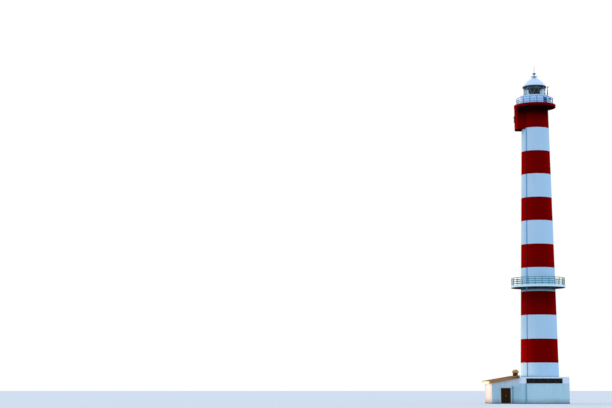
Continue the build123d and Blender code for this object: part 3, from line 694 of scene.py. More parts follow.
SHADES: dict[str, Coat] = {
    "foot_slab": Coat.GREY_CONCRETE,
    "doorstep": Coat.GREY_CONCRETE,
    "block_front_wall": Coat.WHITE_BLOCK,
    "block_back_wall": Coat.WHITE_BLOCK,
    "block_right_wall": Coat.WHITE_BLOCK,
    "block_roof": Coat.WHITE_BLOCK,
    "wing_roof": Coat.ROOF_SHEET,
    "wing_fascia": Coat.ROOF_EDGE,
    "roof_cowl": Coat.COWL_SHEET,
    "door_frame": Coat.WHITE_TRIM,
    "door_leaf_left": Coat.DOOR_WOOD,
    "door_leaf_right": Coat.DOOR_WOOD,
    "rainwater_pipes": Coat.BLUE_PIPE,
    "window_frames": Coat.WINDOW_FRAME,
    "window_glass": Coat.WINDOW_GLASS,
    "mid_gallery_slab": Coat.WHITE_SLAB,
    "mid_gallery_railing": Coat.GREEN_RAIL,
    "upper_gallery_slab": Coat.RED_SHAFT,
    "upper_gallery_railing": Coat.BLUE_RAIL,
    "chamber_walls": Coat.RED_SHAFT,
    "chamber_floor": Coat.RED_SHAFT,
    "chamber_side_front": Coat.RED_SHAFT,
    "chamber_side_back": Coat.RED_SHAFT,
    "cable_duct": Coat.DUCT,
    "lantern_drum": Coat.DRUM_BLUE,
    "drum_door": Coat.LANTERN_DARK,
    "lantern_ledge": Coat.LANTERN_WHITE,
    "glazing_bars": Coat.LANTERN_BARS,
    "lantern_glass": Coat.LANTERN_GLASS,
    "lens": Coat.LENS,
    "lantern_eave": Coat.LANTERN_DARK,
    "lantern_roof": Coat.LANTERN_WHITE,
    "vent_cap": Coat.VENT_BLUE,
    "finial": Coat.BALL_BLUE,
    "wind_mast": Coat.DARK_PIPE,
    "gallery_lamp": Coat.DARK_PIPE,
    "shaft_lift_03": Coat.RED_SHADED,
    "shaft_base": Coat.WHITE_SHAFT,
    "shaft_top": Coat.RED_SHAFT,
}


@contextmanager
def edit_mode() -> Iterator[None]:
    """Hold the active object in edit mode for the steps inside.

    Yields:
        Nothing.
    """
    bpy.ops.object.mode_set(mode="EDIT")
    yield
    bpy.ops.object.mode_set(mode="OBJECT")


class Bench:
    """Modelling steps shared by all pieces. Each leaves a plain mesh object at the origin."""

    @staticmethod
    def pick(*parts: bpy.types.Object) -> None:
        """Select only these objects, the first one active.

        Args:
            *parts: the objects.
        """
        bpy.ops.object.select_all(action="DESELECT")
        for part in parts:
            part.select_set(True)
        bpy.context.view_layer.objects.active = parts[0]

    @staticmethod
    def fresh(
        primitive: Callable[..., object], stretch: Sequence[float] = (1.0, 1.0, 1.0), **settings: object,
    ) -> bpy.types.Object:
        """Add a primitive with nothing else selected, and move its place, turn and size into its mesh.

        Args:
            primitive: the operator that adds it.
            stretch: its size along its own axes.
            **settings: what the operator takes.

        Returns:
            The new object.
        """
        bpy.ops.object.select_all(action="DESELECT")
        primitive(**settings)
        obj = bpy.context.object
        obj.scale = stretch
        bpy.ops.object.transform_apply(location=True, rotation=True, scale=True)
        return obj

    @staticmethod
    def smooth(obj: bpy.types.Object) -> bpy.types.Object:
        """Shade smooth except at sharp edges.

        Args:
            obj: the object to shade.

        Returns:
            The same object.
        """
        Bench.pick(obj)
        bpy.ops.object.shade_smooth_by_angle(angle=math.radians(CURVE_UNDER))
        return obj

    @staticmethod
    def box(low: Sequence[float], high: Sequence[float], bevel: float = 0.0) -> bpy.types.Object:
        """Box between two corners.

        Args:
            low: its corner at the lowest X, Y and Z.
            high: its corner at the highest.
            bevel: width of the bevel along its edges.

        Returns:
            The box.
        """
        low, high = Vector(low), Vector(high)
        obj = Bench.fresh(bpy.ops.mesh.primitive_cube_add, high - low, size=1.0, location=(low + high) / 2)
        if bevel:
            with edit_mode():
                bpy.ops.mesh.select_all(action="SELECT")
                bpy.ops.mesh.bevel(offset=bevel, segments=2, affect="EDGES")
        return obj

    @staticmethod
    def rod(
        radius: float, start: Sequence[float], end: Sequence[float], sides: int = 16, bevel: float = 0.0,
    ) -> bpy.types.Object:
        """Round or many-sided bar between two points.

        Args:
            radius: radius of the bar.
            start: middle of the first end.
            end: middle of the far end.
            sides: number of flat sides.
            bevel: width of the bevel round both ends.

        Returns:
            The bar.
        """
        start, end = Vector(start), Vector(end)
        along = end - start
        obj = Bench.fresh(
            bpy.ops.mesh.primitive_cylinder_add, vertices=sides, radius=radius, depth=along.length,
            location=(start + end) / 2, rotation=along.to_track_quat("Z", "Y").to_euler(),
        )
        if bevel:
            with edit_mode():
                bpy.ops.mesh.select_all(action="DESELECT")
            for face in obj.data.polygons:
                face.select = len(face.vertices) == sides
            with edit_mode():
                bpy.ops.mesh.bevel(offset=bevel, segments=2, affect="EDGES")
        return Bench.smooth(obj)

    @staticmethod
    def ring(
        radius: float, thickness: float, height: float, segments: int = 144, sides: int = 12,
    ) -> bpy.types.Object:
        """Round bar bent into a level circle about the tower's axis.

        Args:
            radius: from the axis to the middle of the bar.
            thickness: radius of the bar.
            height: height of the circle.
            segments: parts along the circle.
            sides: flat sides round the bar.

        Returns:
            The ring.
        """
        obj = Bench.fresh(
            bpy.ops.mesh.primitive_torus_add, major_radius=radius, minor_radius=thickness,
            major_segments=segments, minor_segments=sides, location=(0, 0, height),
        )
        return Bench.smooth(obj)

    @staticmethod
    def ball(radius: float, at: Sequence[float], rings: int = 8) -> bpy.types.Object:
        """Ball at a place.

        Args:
            radius: radius of the ball.
            at: its middle.
            rings: parts from top to bottom.

        Returns:
            The ball.
        """
        obj = Bench.fresh(
            bpy.ops.mesh.primitive_uv_sphere_add, radius=radius, segments=2 * rings, ring_count=rings,
            location=at,
        )
        return Bench.smooth(obj)

    @staticmethod
    def button(
        radius: float, at: Sequence[float], flat: float = 0.7, sunk: float = 0.003,
    ) -> bpy.types.Object:
        """Button head of a rivet on a wall that faces the front.

        Args:
            radius: radius of the head.
            at: middle of the head, at the wall's face.
            flat: its height over its radius.
            sunk: how deep its closed back lies in the wall.

        Returns:
            The head.
        """
        at = Vector(at)
        obj = Bench.ball(radius, at, rings=6)
        with edit_mode():
            bpy.ops.mesh.select_all(action="SELECT")
            bpy.ops.transform.resize(value=(1.0, flat, 1.0), center_override=at)
            bpy.ops.mesh.bisect(
                plane_co=at + Vector((0, sunk, 0)), plane_no=(0, 1, 0), clear_outer=True, use_fill=True,
            )
        return Bench.smooth(obj)

    @staticmethod
    def hoop_part(
        size: Sequence[float], centre: Sequence[float], radius: float, start: float, end: float, steps: int,
    ) -> bpy.types.Object:
        """Flat bar bent into part of an upright hoop that lies in the XZ plane.

        Args:
            size: thickness out from the centre, and width along Y.
            centre: the hoop's centre.
            radius: from the centre to the middle of the bar.
            start: where the bar starts, radians above +X.
            end: where it ends, radians above +X.
            steps: number of parts.

        Returns:
            The bar.
        """
        middle = Vector(centre) + Vector((math.cos(start), 0, math.sin(start))) * radius
        obj = Bench.fresh(
            bpy.ops.mesh.primitive_plane_add, (size[0], size[1], 1.0), size=1.0, location=middle,
            rotation=(0, -start, 0),
        )
        with edit_mode():
            bpy.ops.mesh.select_all(action="SELECT")
            bpy.ops.mesh.spin(steps=steps, angle=end - start, center=centre, axis=(0, 1, 0))
            bpy.ops.mesh.select_all(action="SELECT")
            bpy.ops.mesh.remove_doubles(threshold=1e-6)
            bpy.ops.mesh.normals_make_consistent(inside=False)
        return Bench.smooth(obj)

    @staticmethod
    def around(obj: bpy.types.Object, angles: Iterable[float]) -> list[bpy.types.Object]:
        """Copies, each with its own mesh, turned about the tower's axis; the first object is used up.

        Args:
            obj: the piece to copy.
            angles: turns in degrees, from the front towards +X.

        Returns:
            The copies.
        """
        made = []
        for angle in angles:
            twin = obj.copy()
            twin.data = obj.data.copy()
            twin.data.transform(Matrix.Rotation(math.radians(angle), 4, "Z"))
            bpy.context.scene.collection.objects.link(twin)
            made.append(twin)
        bpy.data.objects.remove(obj)
        return made

    @staticmethod
    def joined(parts: Sequence[bpy.types.Object], name: str) -> bpy.types.Object:
        """Join objects into one and name it.

        Args:
            parts: the objects, which are used up.
            name: name of the object and of its mesh.

        Returns:
            The joined object.
        """
        Bench.pick(*parts)
        if len(parts) > 1:
            bpy.ops.object.join()
        obj = bpy.context.view_layer.objects.active
        obj.name = name
        obj.data.name = name
        return obj


def from_front(radius: float, degrees: float, height: float) -> Vector:
    """Point on a circle about the axis, its angle taken from the front towards +X."""
    angle = math.radians(degrees)
    return Vector((radius * math.sin(angle), -radius * math.cos(angle), height))


def evenly(count: int, first: float = 0.0) -> list[float]:
    """Angles in degrees that part a full turn evenly."""
    return [first + 360 / count * n for n in range(count)]


@dataclass
class Group:
    """A set of new pieces on one part of the lighthouse.

    Attributes:
        coats: the finished materials.
    """

    coats: Coats

    @staticmethod
    def extent(piece: bpy.types.Object) -> tuple[tuple[float, ...], tuple[float, ...]]:
        """Find the box round a piece's mesh.

        Args:
            piece: the piece.

        Returns:
            Its lowest and highest corner, to the millimetre.
        """
        columns = list(zip(*(vertex.co for vertex in piece.data.vertices)))
        return tuple(round(min(c), 3) for c in columns), tuple(round(max(c), 3) for c in columns)

    def place(
        self, parts: Sequence[bpy.types.Object], name: str, coat: Coat, slot: str, body: str = ROOT,
        instead_of: Sequence[str] = (),
    ) -> bpy.types.Object:
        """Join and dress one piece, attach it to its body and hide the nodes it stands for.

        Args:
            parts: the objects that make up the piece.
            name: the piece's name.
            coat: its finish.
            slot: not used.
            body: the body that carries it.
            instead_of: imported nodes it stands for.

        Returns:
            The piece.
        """
        piece = Bench.joined(parts, name)
        piece.data.materials.clear()
        piece.data.materials.append(self.coats[coat])
        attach(piece, body)
        if instead_of:
            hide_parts(*instead_of)
        low, high = self.extent(piece)
        log.info("built %s: %d faces, %s to %s", name, len(piece.data.polygons), low, high)
        return piece


@dataclass
class Railing(Group):
    """Round-pipe railing of one gallery, with base plates and bolts.

    Attributes:
        node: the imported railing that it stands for.
        posts: number of posts.
        turn: degrees from the front to the first post.
        rails: number of rails, evenly spaced up to the top.
        coat: finish of the rails.
        post_coat: finish of the posts.
        slot_name: material slot of the pipes.
        pipe: radius of a post and of a rail.
        plate: half of a base plate's side.
        plate_thick: thickness of a base plate.
        plate_bevel: width of its bevel.
        bolt: radius of a bolt head.
        bolt_tall: height of a bolt head.
        bolt_bevel: width of its bevel.
        bolt_out: place of the bolts, as a share of the way to the plate's edge.
    """

    node: str
    posts: int
    turn: float
    rails: int
    coat: Coat
    post_coat: Coat
    slot_name: str
    pipe: float = 0.018
    plate: float = 0.036
    plate_thick: float = 0.006
    plate_bevel: float = 0.0015
    bolt: float = 0.006
    bolt_tall: float = 0.005
    bolt_bevel: float = 0.001
    bolt_out: float = 0.68

    def bolts(self, stand: Vector) -> list[bpy.types.Object]:
        """Make the four hexagon heads on one base plate.

        Args:
            stand: middle of the post's foot.

        Returns:
            The bolt heads.
        """
        heads = []
        inset = self.plate * self.bolt_out
        for x in (-inset, inset):
            for y in (-inset, inset):
                foot = stand + Vector((x, y, self.plate_thick))
                top = foot + Vector((0, 0, self.bolt_tall))
                heads.append(Bench.rod(self.bolt, foot, top, sides=6, bevel=self.bolt_bevel))
        return heads

    def build(self) -> None:
        """Build the railing and its bolts."""
        low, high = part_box(self.node)
        tall = high.z - low.z
        radius = (high - low).x / 2 - self.pipe
        angles = evenly(self.posts, self.turn)
        stand = from_front(radius, 0, low.z)
        head = stand + Vector((0, 0, tall - self.pipe))
        post = Bench.rod(self.pipe, stand, head)
        cap = Bench.ball(self.pipe, head)
        corner = Vector((self.plate, self.plate, 0))
        top = Vector((0, 0, self.plate_thick))
        plate = Bench.box(stand - corner, stand + corner + top, self.plate_bevel)
        posts = Bench.around(Bench.joined([post, cap, plate], "post"), angles)
        self.place(posts, self.node + "_posts", self.post_coat, self.slot_name, instead_of=[self.node])
        steps = range(1, self.rails + 1)
        rails = [Bench.ring(radius, self.pipe, low.z + tall * n / self.rails - self.pipe) for n in steps]
        self.place(rails, self.node + "_rails", self.coat, self.slot_name, instead_of=[self.node])
        bolts = Bench.around(Bench.joined(self.bolts(stand), "bolt"), angles)
        self.place(bolts, self.node + "_bolts", Coat.ZINC, self.slot_name)


@dataclass
class Galleries(Group):
    """Drip beads under the slabs' edges.

    Attributes:
        bead: radius of a bead.
        set_in: how far its middle lies inside the slab's edge, in its own radii.
    """

    bead: float = 0.007
    set_in: float = 2.2

    def build(self) -> None:
        """Build both beads."""
        for node, coat, slot in (
            ("mid_gallery_slab", Coat.WHITE_SLAB, "white_concrete"),
            ("upper_gallery_slab", Coat.RED_SHAFT, "red_concrete"),
        ):
            low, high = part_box(node)
            ring = Bench.ring(high.x - self.set_in * self.bead, self.bead, low.z)
            self.place([ring], node + "_drip_bead", coat, slot)


@dataclass
class Shaft(Group):
    """Lightning cable with its clips, down the back of the shaft.

    Attributes:
        base_radius: the shaft's radius at height 0.
        taper: radius lost for each metre of height.
        cable_angle: place of the cable, degrees from the front.
        cable_radius: radius of the cable.
        cable_off: gap between the cable and the wall.
        clip_pitch: distance between clips.
        clip: radius of a clip.
        clip_in: how deep a clip lies in the wall.
        clip_out: how far it stands out.
        clip_bevel: width of its bevel.
    """

    base_radius: float = 1.22
    taper: float = 0.02075
    cable_angle: float = 148.0
    cable_radius: float = 0.006
    cable_off: float = 0.004
    clip_pitch: float = 0.7385
    clip: float = 0.011
    clip_in: float = 0.002
    clip_out: float = 0.022
    clip_bevel: float = 0.003

    def wall(self, height: float, out: float) -> Vector:
        """Point at the cable's place, a way out from the shaft's face."""
        return from_front(self.base_radius - self.taper * height + out, self.cable_angle, height)

    def cable_run(self, low: float, high: float) -> list[bpy.types.Object]:
        """Make one length of the cable with its clips.

        Args:
            low: height of its lower end.
            high: height of its upper end.

        Returns:
            The cable and the clips.
        """
        off = self.cable_radius + self.cable_off
        parts = [Bench.rod(self.cable_radius, self.wall(low, off), self.wall(high, off), sides=10)]
        for number in range(int((high - low) / self.clip_pitch)):
            z = low + (number + 0.5) * self.clip_pitch
            near, far = self.wall(z, -self.clip_in), self.wall(z, self.clip_out)
            parts.append(Bench.rod(self.clip, near, far, sides=12, bevel=self.clip_bevel))
        return parts

    def build(self) -> None:
        """Build the cable in two lengths, below and above the middle gallery."""
        roof_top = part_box("block_roof")[1].z
        mid_low, mid_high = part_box("mid_gallery_slab")
        upper_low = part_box("upper_gallery_slab")[0].z
        parts = self.cable_run(roof_top, mid_low.z) + self.cable_run(mid_high.z, upper_low)
        self.place(parts, "lightning_cable", Coat.ZINC, "dark_pipe")


@dataclass
class Chamber(Group):
    """Hood and sill on the chamber's small window.

    Attributes:
        half: half of the window's width.
        tall: height of the window.
        side: how far hood and sill pass the window at each side.
        out: how far the hood stands out from the frame.
        deep: how far hood and sill reach back into the wall.
        hood_tall: height of the hood.
        sill_tall: height of the sill.
        bevel: width of the bevel on both.
    """

    half: float = 0.15
    tall: float = 0.3
    side: float = 0.03
    out: float = 0.03
    deep: float = 0.07
    hood_tall: float = 0.03
    sill_tall: float = 0.022
    bevel: float = 0.004

    def build(self) -> None:
        """Build the hood and the sill."""
        low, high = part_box("window_frames")
        face, head_z = low.x, high.z
        sill_z = head_z - self.tall
        sill_low = sill_z - self.sill_tall
        half = self.half + self.side
        back = face + self.deep
        hood = Bench.box((face - self.out, -half, head_z), (back, half, head_z + self.hood_tall), self.bevel)
        sill = Bench.box((face - self.out / 2, -half, sill_low), (back, half, sill_z), self.bevel)
        self.place([hood, sill], "chamber_window_hood", Coat.RED_SHAFT, "red_concrete")


@dataclass
class Dome(Group):
    """Standing seams on the lantern's dome.

    Attributes:
        seams: number of seams.
        wide: width of a seam.
        tall: height of a seam above the sheet.
        sunk: how deep a seam's foot lies in the sheet.
        steps: parts along one seam.
        crown: radius at which the seams end.
        shoulder_out: radius of a point of the dome's arc, as a share of the foot's.
        shoulder_up: height of that point, as a share of the dome's.
    """

    seams: int = 16
    wide: float = 0.012
    tall: float = 0.007
    sunk: float = 0.004
    steps: int = 28
    crown: float = 0.12
    shoulder_out: float = 0.66
    shoulder_up: float = 0.54

    @staticmethod
    def circle_centre(first: Vector, second: Vector, third: Vector) -> Vector:
        """Find the centre of the circle through three points of a plane.

        Args:
            first: a point.
            second: another point.
            third: a point not in line with them.

        Returns:
            The centre.
        """
        (ax, ay), (bx, by), (cx, cy) = first, second, third
        spread = 2 * (ax * (by - cy) + bx * (cy - ay) + cx * (ay - by))
        sizes = [point.length_squared for point in (first, second, third)]
        x = (sizes[0] * (by - cy) + sizes[1] * (cy - ay) + sizes[2] * (ay - by)) / spread
        y = (sizes[0] * (cx - bx) + sizes[1] * (ax - cx) + sizes[2] * (bx - ax)) / spread
        return Vector((x, y))

    def build(self) -> None:
        """Sweep one seam over the dome's arc and copy it round."""
        low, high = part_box("lantern_roof")
        foot = Vector((high.x, low.z))
        crown = Vector((self.crown, high.z))
        shoulder = Vector((high.x * self.shoulder_out, low.z + (high.z - low.z) * self.shoulder_up))
        centre = self.circle_centre(foot, shoulder, crown)
        radius = (foot - centre).length
        start = math.atan2(foot.y - centre.y, foot.x - centre.x)
        end = math.atan2(crown.y - centre.y, crown.x - centre.x)
        size = (self.tall + self.sunk, self.wide)
        radius += (self.tall - self.sunk) / 2
        seam = Bench.hoop_part(size, (centre.x, 0, centre.y), radius, start, end, self.steps)
        turned = Bench.around(seam, evenly(self.seams, 180 / self.seams))
        self.place(turned, "dome_seams", Coat.LANTERN_WHITE, "lantern_white")


@dataclass
class Rivets(Group):
    """Rows of rivet heads round the eave and along the drum's top.

    Attributes:
        head: radius of a head.
        set_in: how far its middle lies inside the wall's largest radius.
        from_edge: from a row to the edge it follows.
        on_eave: rivets round the eave.
        on_drum: rivets round the drum.
    """

    head: float = 0.008
    set_in: float = 0.0015
    from_edge: float = 0.03
    on_eave: int = 48
    on_drum: int = 64

    def build(self) -> None:
        """Build both rows."""
        eave_low, eave_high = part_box("lantern_eave")
        drum_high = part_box("lantern_drum")[1]
        eave_z, drum_z = eave_low.z + self.from_edge, drum_high.z - self.from_edge
        for name, coat, slot, radius, height, count in (
            ("eave_rivets", Coat.LANTERN_DARK, "lantern_bars", eave_high.x, eave_z, self.on_eave),
            ("drum_rivets", Coat.DRUM_BLUE, "lantern_white", drum_high.x, drum_z, self.on_drum),
        ):
            dot = Bench.button(self.head, from_front(radius - self.set_in, 0, height))
            self.place(Bench.around(dot, evenly(count)), name, coat, slot)


@dataclass
class Drum(Group):
    """Upright cover strips on the lantern's drum, and the fittings of its door.

    Attributes:
        strips: number of cover strips round the whole drum.
        clear: degrees at each side of the door's middle that stay free of strips.
        strip_half: half of a strip's width.
        strip_out: how far a strip stands out.
        strip_in: how deep it lies in the wall.
        strip_bevel: width of its bevel.
        hinges: heights of the strap hinges above the drum's foot.
        hinge_long: length of a hinge.
        hinge_tall: height of a hinge.
        hinge_out: how far it stands out.
        hinge_in: how deep it lies in the door.
        hinge_bevel: width of its bevel.
        grip: radius of the grip.
        grip_x: from the door's middle to the grip.
        grip_out: from the door's face to the middle of the grip.
        grip_ends: heights of its ends above the drum's foot.
        grip_bevel: width of the bevel at its ends.
        leg: radius of a leg that carries the grip.
        leg_in: how deep a leg lies in the door.
        legs: heights of the legs above the drum's foot.
    """

    strips: int = 16
    clear: float = 14.0
    strip_half: float = 0.016
    strip_out: float = 0.005
    strip_in: float = 0.01
    strip_bevel: float = 0.002
    hinges: tuple[float, float] = (0.1, 0.32)
    hinge_long: float = 0.16
    hinge_tall: float = 0.018
    hinge_out: float = 0.006
    hinge_in: float = 0.012
    hinge_bevel: float = 0.001
    grip: float = 0.006
    grip_x: float = 0.12
    grip_out: float = 0.03
    grip_ends: tuple[float, float] = (0.18, 0.27)
    grip_bevel: float = 0.002
    leg: float = 0.005
    leg_in: float = 0.02
    legs: tuple[float, float] = (0.19, 0.26)

    def cover_strips(self, door_angle: float) -> None:
        """Build the strips, left out where the door is.

        Args:
            door_angle: place of the door, degrees from the front.
        """
        low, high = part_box("lantern_drum")
        near = (-self.strip_half, -high.x - self.strip_out, low.z)
        far = (self.strip_half, -high.x + self.strip_in, high.z)
        strip = Bench.box(near, far, self.strip_bevel)
        turns = evenly(self.strips)
        free = [turn for turn in turns if abs((turn - door_angle + 180) % 360 - 180) > self.clear]
        self.place(Bench.around(strip, free), "drum_cover_strips", Coat.DRUM_BLUE, "lantern_white")

    def door_fittings(self, door_angle: float) -> None:
        """Build the door's strap hinges and its grip.

        Args:
            door_angle: place of the door, degrees from the front.
        """
        low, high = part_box("lantern_drum")
        face = -high.x
        parts = []
        for up in self.hinges:
            near = (-self.hinge_long, face - self.hinge_out, low.z + up)
            far = (0.0, face + self.hinge_in, low.z + up + self.hinge_tall)
            parts.append(Bench.box(near, far, self.hinge_bevel))
        x, out = self.grip_x, face - self.grip_out
        foot, head = [(x, out, low.z + up) for up in self.grip_ends]
        parts.append(Bench.rod(self.grip, foot, head, bevel=self.grip_bevel))
        for up in self.legs:
            parts.append(Bench.rod(self.leg, (x, out, low.z + up), (x, face + self.leg_in, low.z + up)))
        turned = Bench.around(Bench.joined(parts, "fittings"), [door_angle])
        self.place(turned, "drum_door_fittings", Coat.ZINC, "lantern_bars")

    def build(self) -> None:
        """Build the strips and the fittings."""
        door_low, door_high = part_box("drum_door")
        middle = (door_low + door_high) / 2
        door_angle = math.degrees(math.atan2(middle.x, -middle.y))
        self.cover_strips(door_angle)
        self.door_fittings(door_angle)


@dataclass
class LensFrame(Group):
    """Upright bars and two rings that hold the cut glass.

    Attributes:
        off: from the lens to the middle of a bar.
        tall: height of the frame.
        bar: radius of a bar.
        ring: radius of the bar of a ring.
        bars: number of bars.
        turn: degrees from the front to the first bar.
    """

    off: float = 0.006
    tall: float = 0.47
    bar: float = 0.008
    ring: float = 0.011
    bars: int = 8
    turn: float = 10.0

    def build(self) -> None:
        """Build the frame."""
        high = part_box("lens")[1]
        radius = high.x + self.off
        bottom = high.z - self.tall
        bar = Bench.rod(self.bar, from_front(radius, 0, bottom), from_front(radius, 0, high.z), sides=8)
        parts = Bench.around(bar, evenly(self.bars, self.turn))
        parts += [Bench.ring(radius, self.ring, z, segments=64, sides=8) for z in (bottom, high.z)]
        self.place(parts, "lens_frame", Coat.LANTERN_DARK, "lantern_bars")


@dataclass
class FootBuilding(Group):
    """Sills, the shaft's collar and the roof's screws on the foot building.

    Attributes:
        sill_out: how far a sill stands out from the wall.
        sill_in: how deep it lies in the wall.
        sill_tall: height of a sill.
        sill_half: half of a sill's length.
        sill_top: height of the strip windows' foot.
        sill_bevel: width of a sill's bevel.
        lost_to_roof: radius that the shaft loses up to the flat roof.
        collar: radius of the round collar on the roof.
        collar_off: from the shaft to the collar's middle.
        lip: radius of the round lip above the collar.
        lip_off: from the shaft to the lip's middle.
        lip_up: height of the lip above the roof.
        eave_z: top of the wing's roof at its eave.
        slope: rise of the wing's roof for each metre.
        screws: number of screws along one verge.
        screw_first: from the eave to the first screw.
        screw_pitch: distance between screws.
        screw_below: how far a screw lies below the roof's top.
        screw: radius of a screw head.
        screw_in: how deep a head lies in the board.
        screw_out: how far it stands out.
        screw_bevel: width of its bevel.
    """

    sill_out: float = 0.022
    sill_in: float = 0.01
    sill_tall: float = 0.022
    sill_half: float = 1.09
    sill_top: float = 1.23
    sill_bevel: float = 0.003
    lost_to_roof: float = 0.033
    collar: float = 0.012
    collar_off: float = 0.008
    lip: float = 0.006
    lip_off: float = 0.001
    lip_up: float = 0.06
    eave_z: float = 1.38
    slope: float = 0.1779
    screws: int = 12
    screw_first: float = 0.06
    screw_pitch: float = 0.155
    screw_below: float = 0.092
    screw: float = 0.008
    screw_in: float = 0.001
    screw_out: float = 0.003
    screw_bevel: float = 0.0015

    def sills(self) -> None:
        """Build the sills under the three strip windows."""
        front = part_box("block_front_wall")[0].y
        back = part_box("block_back_wall")[1].y
        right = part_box("block_right_wall")[1].x
        half, out, deep = self.sill_half, self.sill_out, self.sill_in
        top, low = self.sill_top, self.sill_top - self.sill_tall
        parts = [
            Bench.box((-half, front - out, low), (half, front + deep, top), self.sill_bevel),
            Bench.box((-half, back - deep, low), (half, back + out, top), self.sill_bevel),
            Bench.box((right - deep, -half, low), (right + out, half, top), self.sill_bevel),
        ]
        self.place(parts, "strip_window_sills", Coat.WHITE_WALL, "white_render")

    def collar_and_lip(self) -> None:
        """Build the zinc collar where the shaft passes the flat roof."""
        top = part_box("block_roof")[1].z
        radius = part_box("shaft_base")[1].x - self.lost_to_roof
        parts = [
            Bench.ring(radius + self.collar_off, self.collar, top + self.collar),
            Bench.ring(radius + self.lip_off, self.lip, top + self.lip_up),
        ]
        self.place(parts, "shaft_collar", Coat.ZINC, "dark_pipe")

    def verge_screws(self) -> None:
        """Build the screw heads along the front verge board."""
        low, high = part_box("wing_fascia")
        parts = []
        for number in range(self.screws):
            x = low.x + self.screw_first + number * self.screw_pitch
            z = self.eave_z + self.slope * (x - low.x) - self.screw_below
            near, far = (x, low.y + self.screw_in, z), (x, low.y - self.screw_out, z)
            parts.append(Bench.rod(self.screw, near, far, sides=12, bevel=self.screw_bevel))
        self.place(parts, "verge_screws", Coat.ZINC, "dark_pipe")

    def build(self) -> None:
        """Build all fittings of the foot building."""
        self.sills()
        self.collar_and_lip()
        self.verge_screws()


@dataclass
class DoubleDoor(Group):
    """Boards and handles on the two leaves.

    Attributes:
        stile: width of a leaf's stile.
        half_gap: half of the gap between the leaves.
        pin: how far the hinge knuckles reach past a leaf's hinge edge.
        boards: boards across one panel.
        gap: gap between boards.
        board_thick: thickness of a board in front of the panel's depth.
        board_sunk: how deep a board lies in the leaf.
        board_short: gap over and under a board.
        board_bevel: width of its bevel.
        panel_deep: depth of the leaf's panels.
        knuckle: how far the hinge knuckles stand out from the leaves' face.
        plate_half: half of the handle plate's width.
        plate_up: half of its height.
        plate_out: how far it stands out.
        plate_in: how deep it lies in the leaf.
        plate_bevel: width of its bevel.
        grip: radius of the grip.
        grip_up: half of its length.
        grip_out: from the leaf's face to the middle of the grip.
        grip_bevel: width of the bevel at its ends.
        leg: radius of a leg that carries the grip.
        leg_up: from the grip's middle to a leg.
    """

    stile: float = 0.048
    half_gap: float = 0.003
    pin: float = 0.014
    boards: int = 4
    gap: float = 0.004
    board_thick: float = 0.005
    board_sunk: float = 0.002
    board_short: float = 0.002
    board_bevel: float = 0.0012
    panel_deep: float = 0.006
    knuckle: float = 0.016
    plate_half: float = 0.012
    plate_up: float = 0.05
    plate_out: float = 0.003
    plate_in: float = 0.001
    plate_bevel: float = 0.001
    grip: float = 0.005
    grip_up: float = 0.036
    grip_out: float = 0.022
    grip_bevel: float = 0.0015
    leg: float = 0.004
    leg_up: float = 0.03

    def boards_on(self, node: str, left: float, right: float, face: float) -> None:
        """Build the boards in both panels of a leaf.

        Args:
            node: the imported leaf, which is also its body.
            left: the panels' edge at the lower X.
            right: their edge at the higher X.
            face: Y of the leaf's face.
        """
        low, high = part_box(node)
        tall = (high.z - low.z - self.stile) / 2
        width = (right - left - self.gap * (self.boards + 1)) / self.boards
        front, back = face + self.panel_deep - self.board_thick, face + self.panel_deep + self.board_sunk
        parts = []
        for start in (low.z + self.stile, low.z + tall + self.stile):
            foot, head = start + self.board_short, start + tall - self.stile - self.board_short
            for number in range(self.boards):
                x = left + self.gap + number * (width + self.gap)
                parts.append(Bench.box((x, front, foot), (x + width, back, head), self.board_bevel))
        self.place(parts, node + "_boards", Coat.DOOR_WOOD, "brown_door", body=node)

    def handle_on(self, node: str, x: float, face: float) -> None:
        """Build the handle of a leaf.

        Args:
            node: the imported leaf, which is also its body.
            x: the handle's place.
            face: Y of the leaf's face.
        """
        low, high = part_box(node)
        z = (low.z + high.z) / 2
        out = face - self.grip_out
        near = (x - self.plate_half, face - self.plate_out, z - self.plate_up)
        far = (x + self.plate_half, face + self.plate_in, z + self.plate_up)
        grip_foot, grip_head = (x, out, z - self.grip_up), (x, out, z + self.grip_up)
        parts = [
            Bench.box(near, far, self.plate_bevel),
            Bench.rod(self.grip, grip_foot, grip_head, bevel=self.grip_bevel),
        ]
        for end in (z - self.leg_up, z + self.leg_up):
            parts.append(Bench.rod(self.leg, (x, out, end), (x, face, end), sides=10))
        self.place(parts, node + "_handle", Coat.BRASS, "dark_pipe", body=node)

    def leaf(self, node: str, free_side: int) -> None:
        """Build the boards and the handle of one leaf.

        Args:
            node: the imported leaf, which is also its body.
            free_side: 1 if the leaf's free edge is on its +X side, else -1.
        """
        low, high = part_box(node)
        middle = (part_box("door_leaf_left")[1].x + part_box("door_leaf_right")[0].x) / 2
        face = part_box("door_frame")[0].y + self.knuckle
        free = middle - free_side * self.half_gap
        hinge = low.x + self.pin if free_side > 0 else high.x - self.pin
        left, right = sorted((free - free_side * self.stile, hinge + free_side * self.stile))
        self.boards_on(node, left, right, face)
        self.handle_on(node, free - free_side * self.stile / 2, face)

    def build(self) -> None:
        """Dress both leaves."""
        self.leaf("door_leaf_left", 1)
        self.leaf("door_leaf_right", -1)


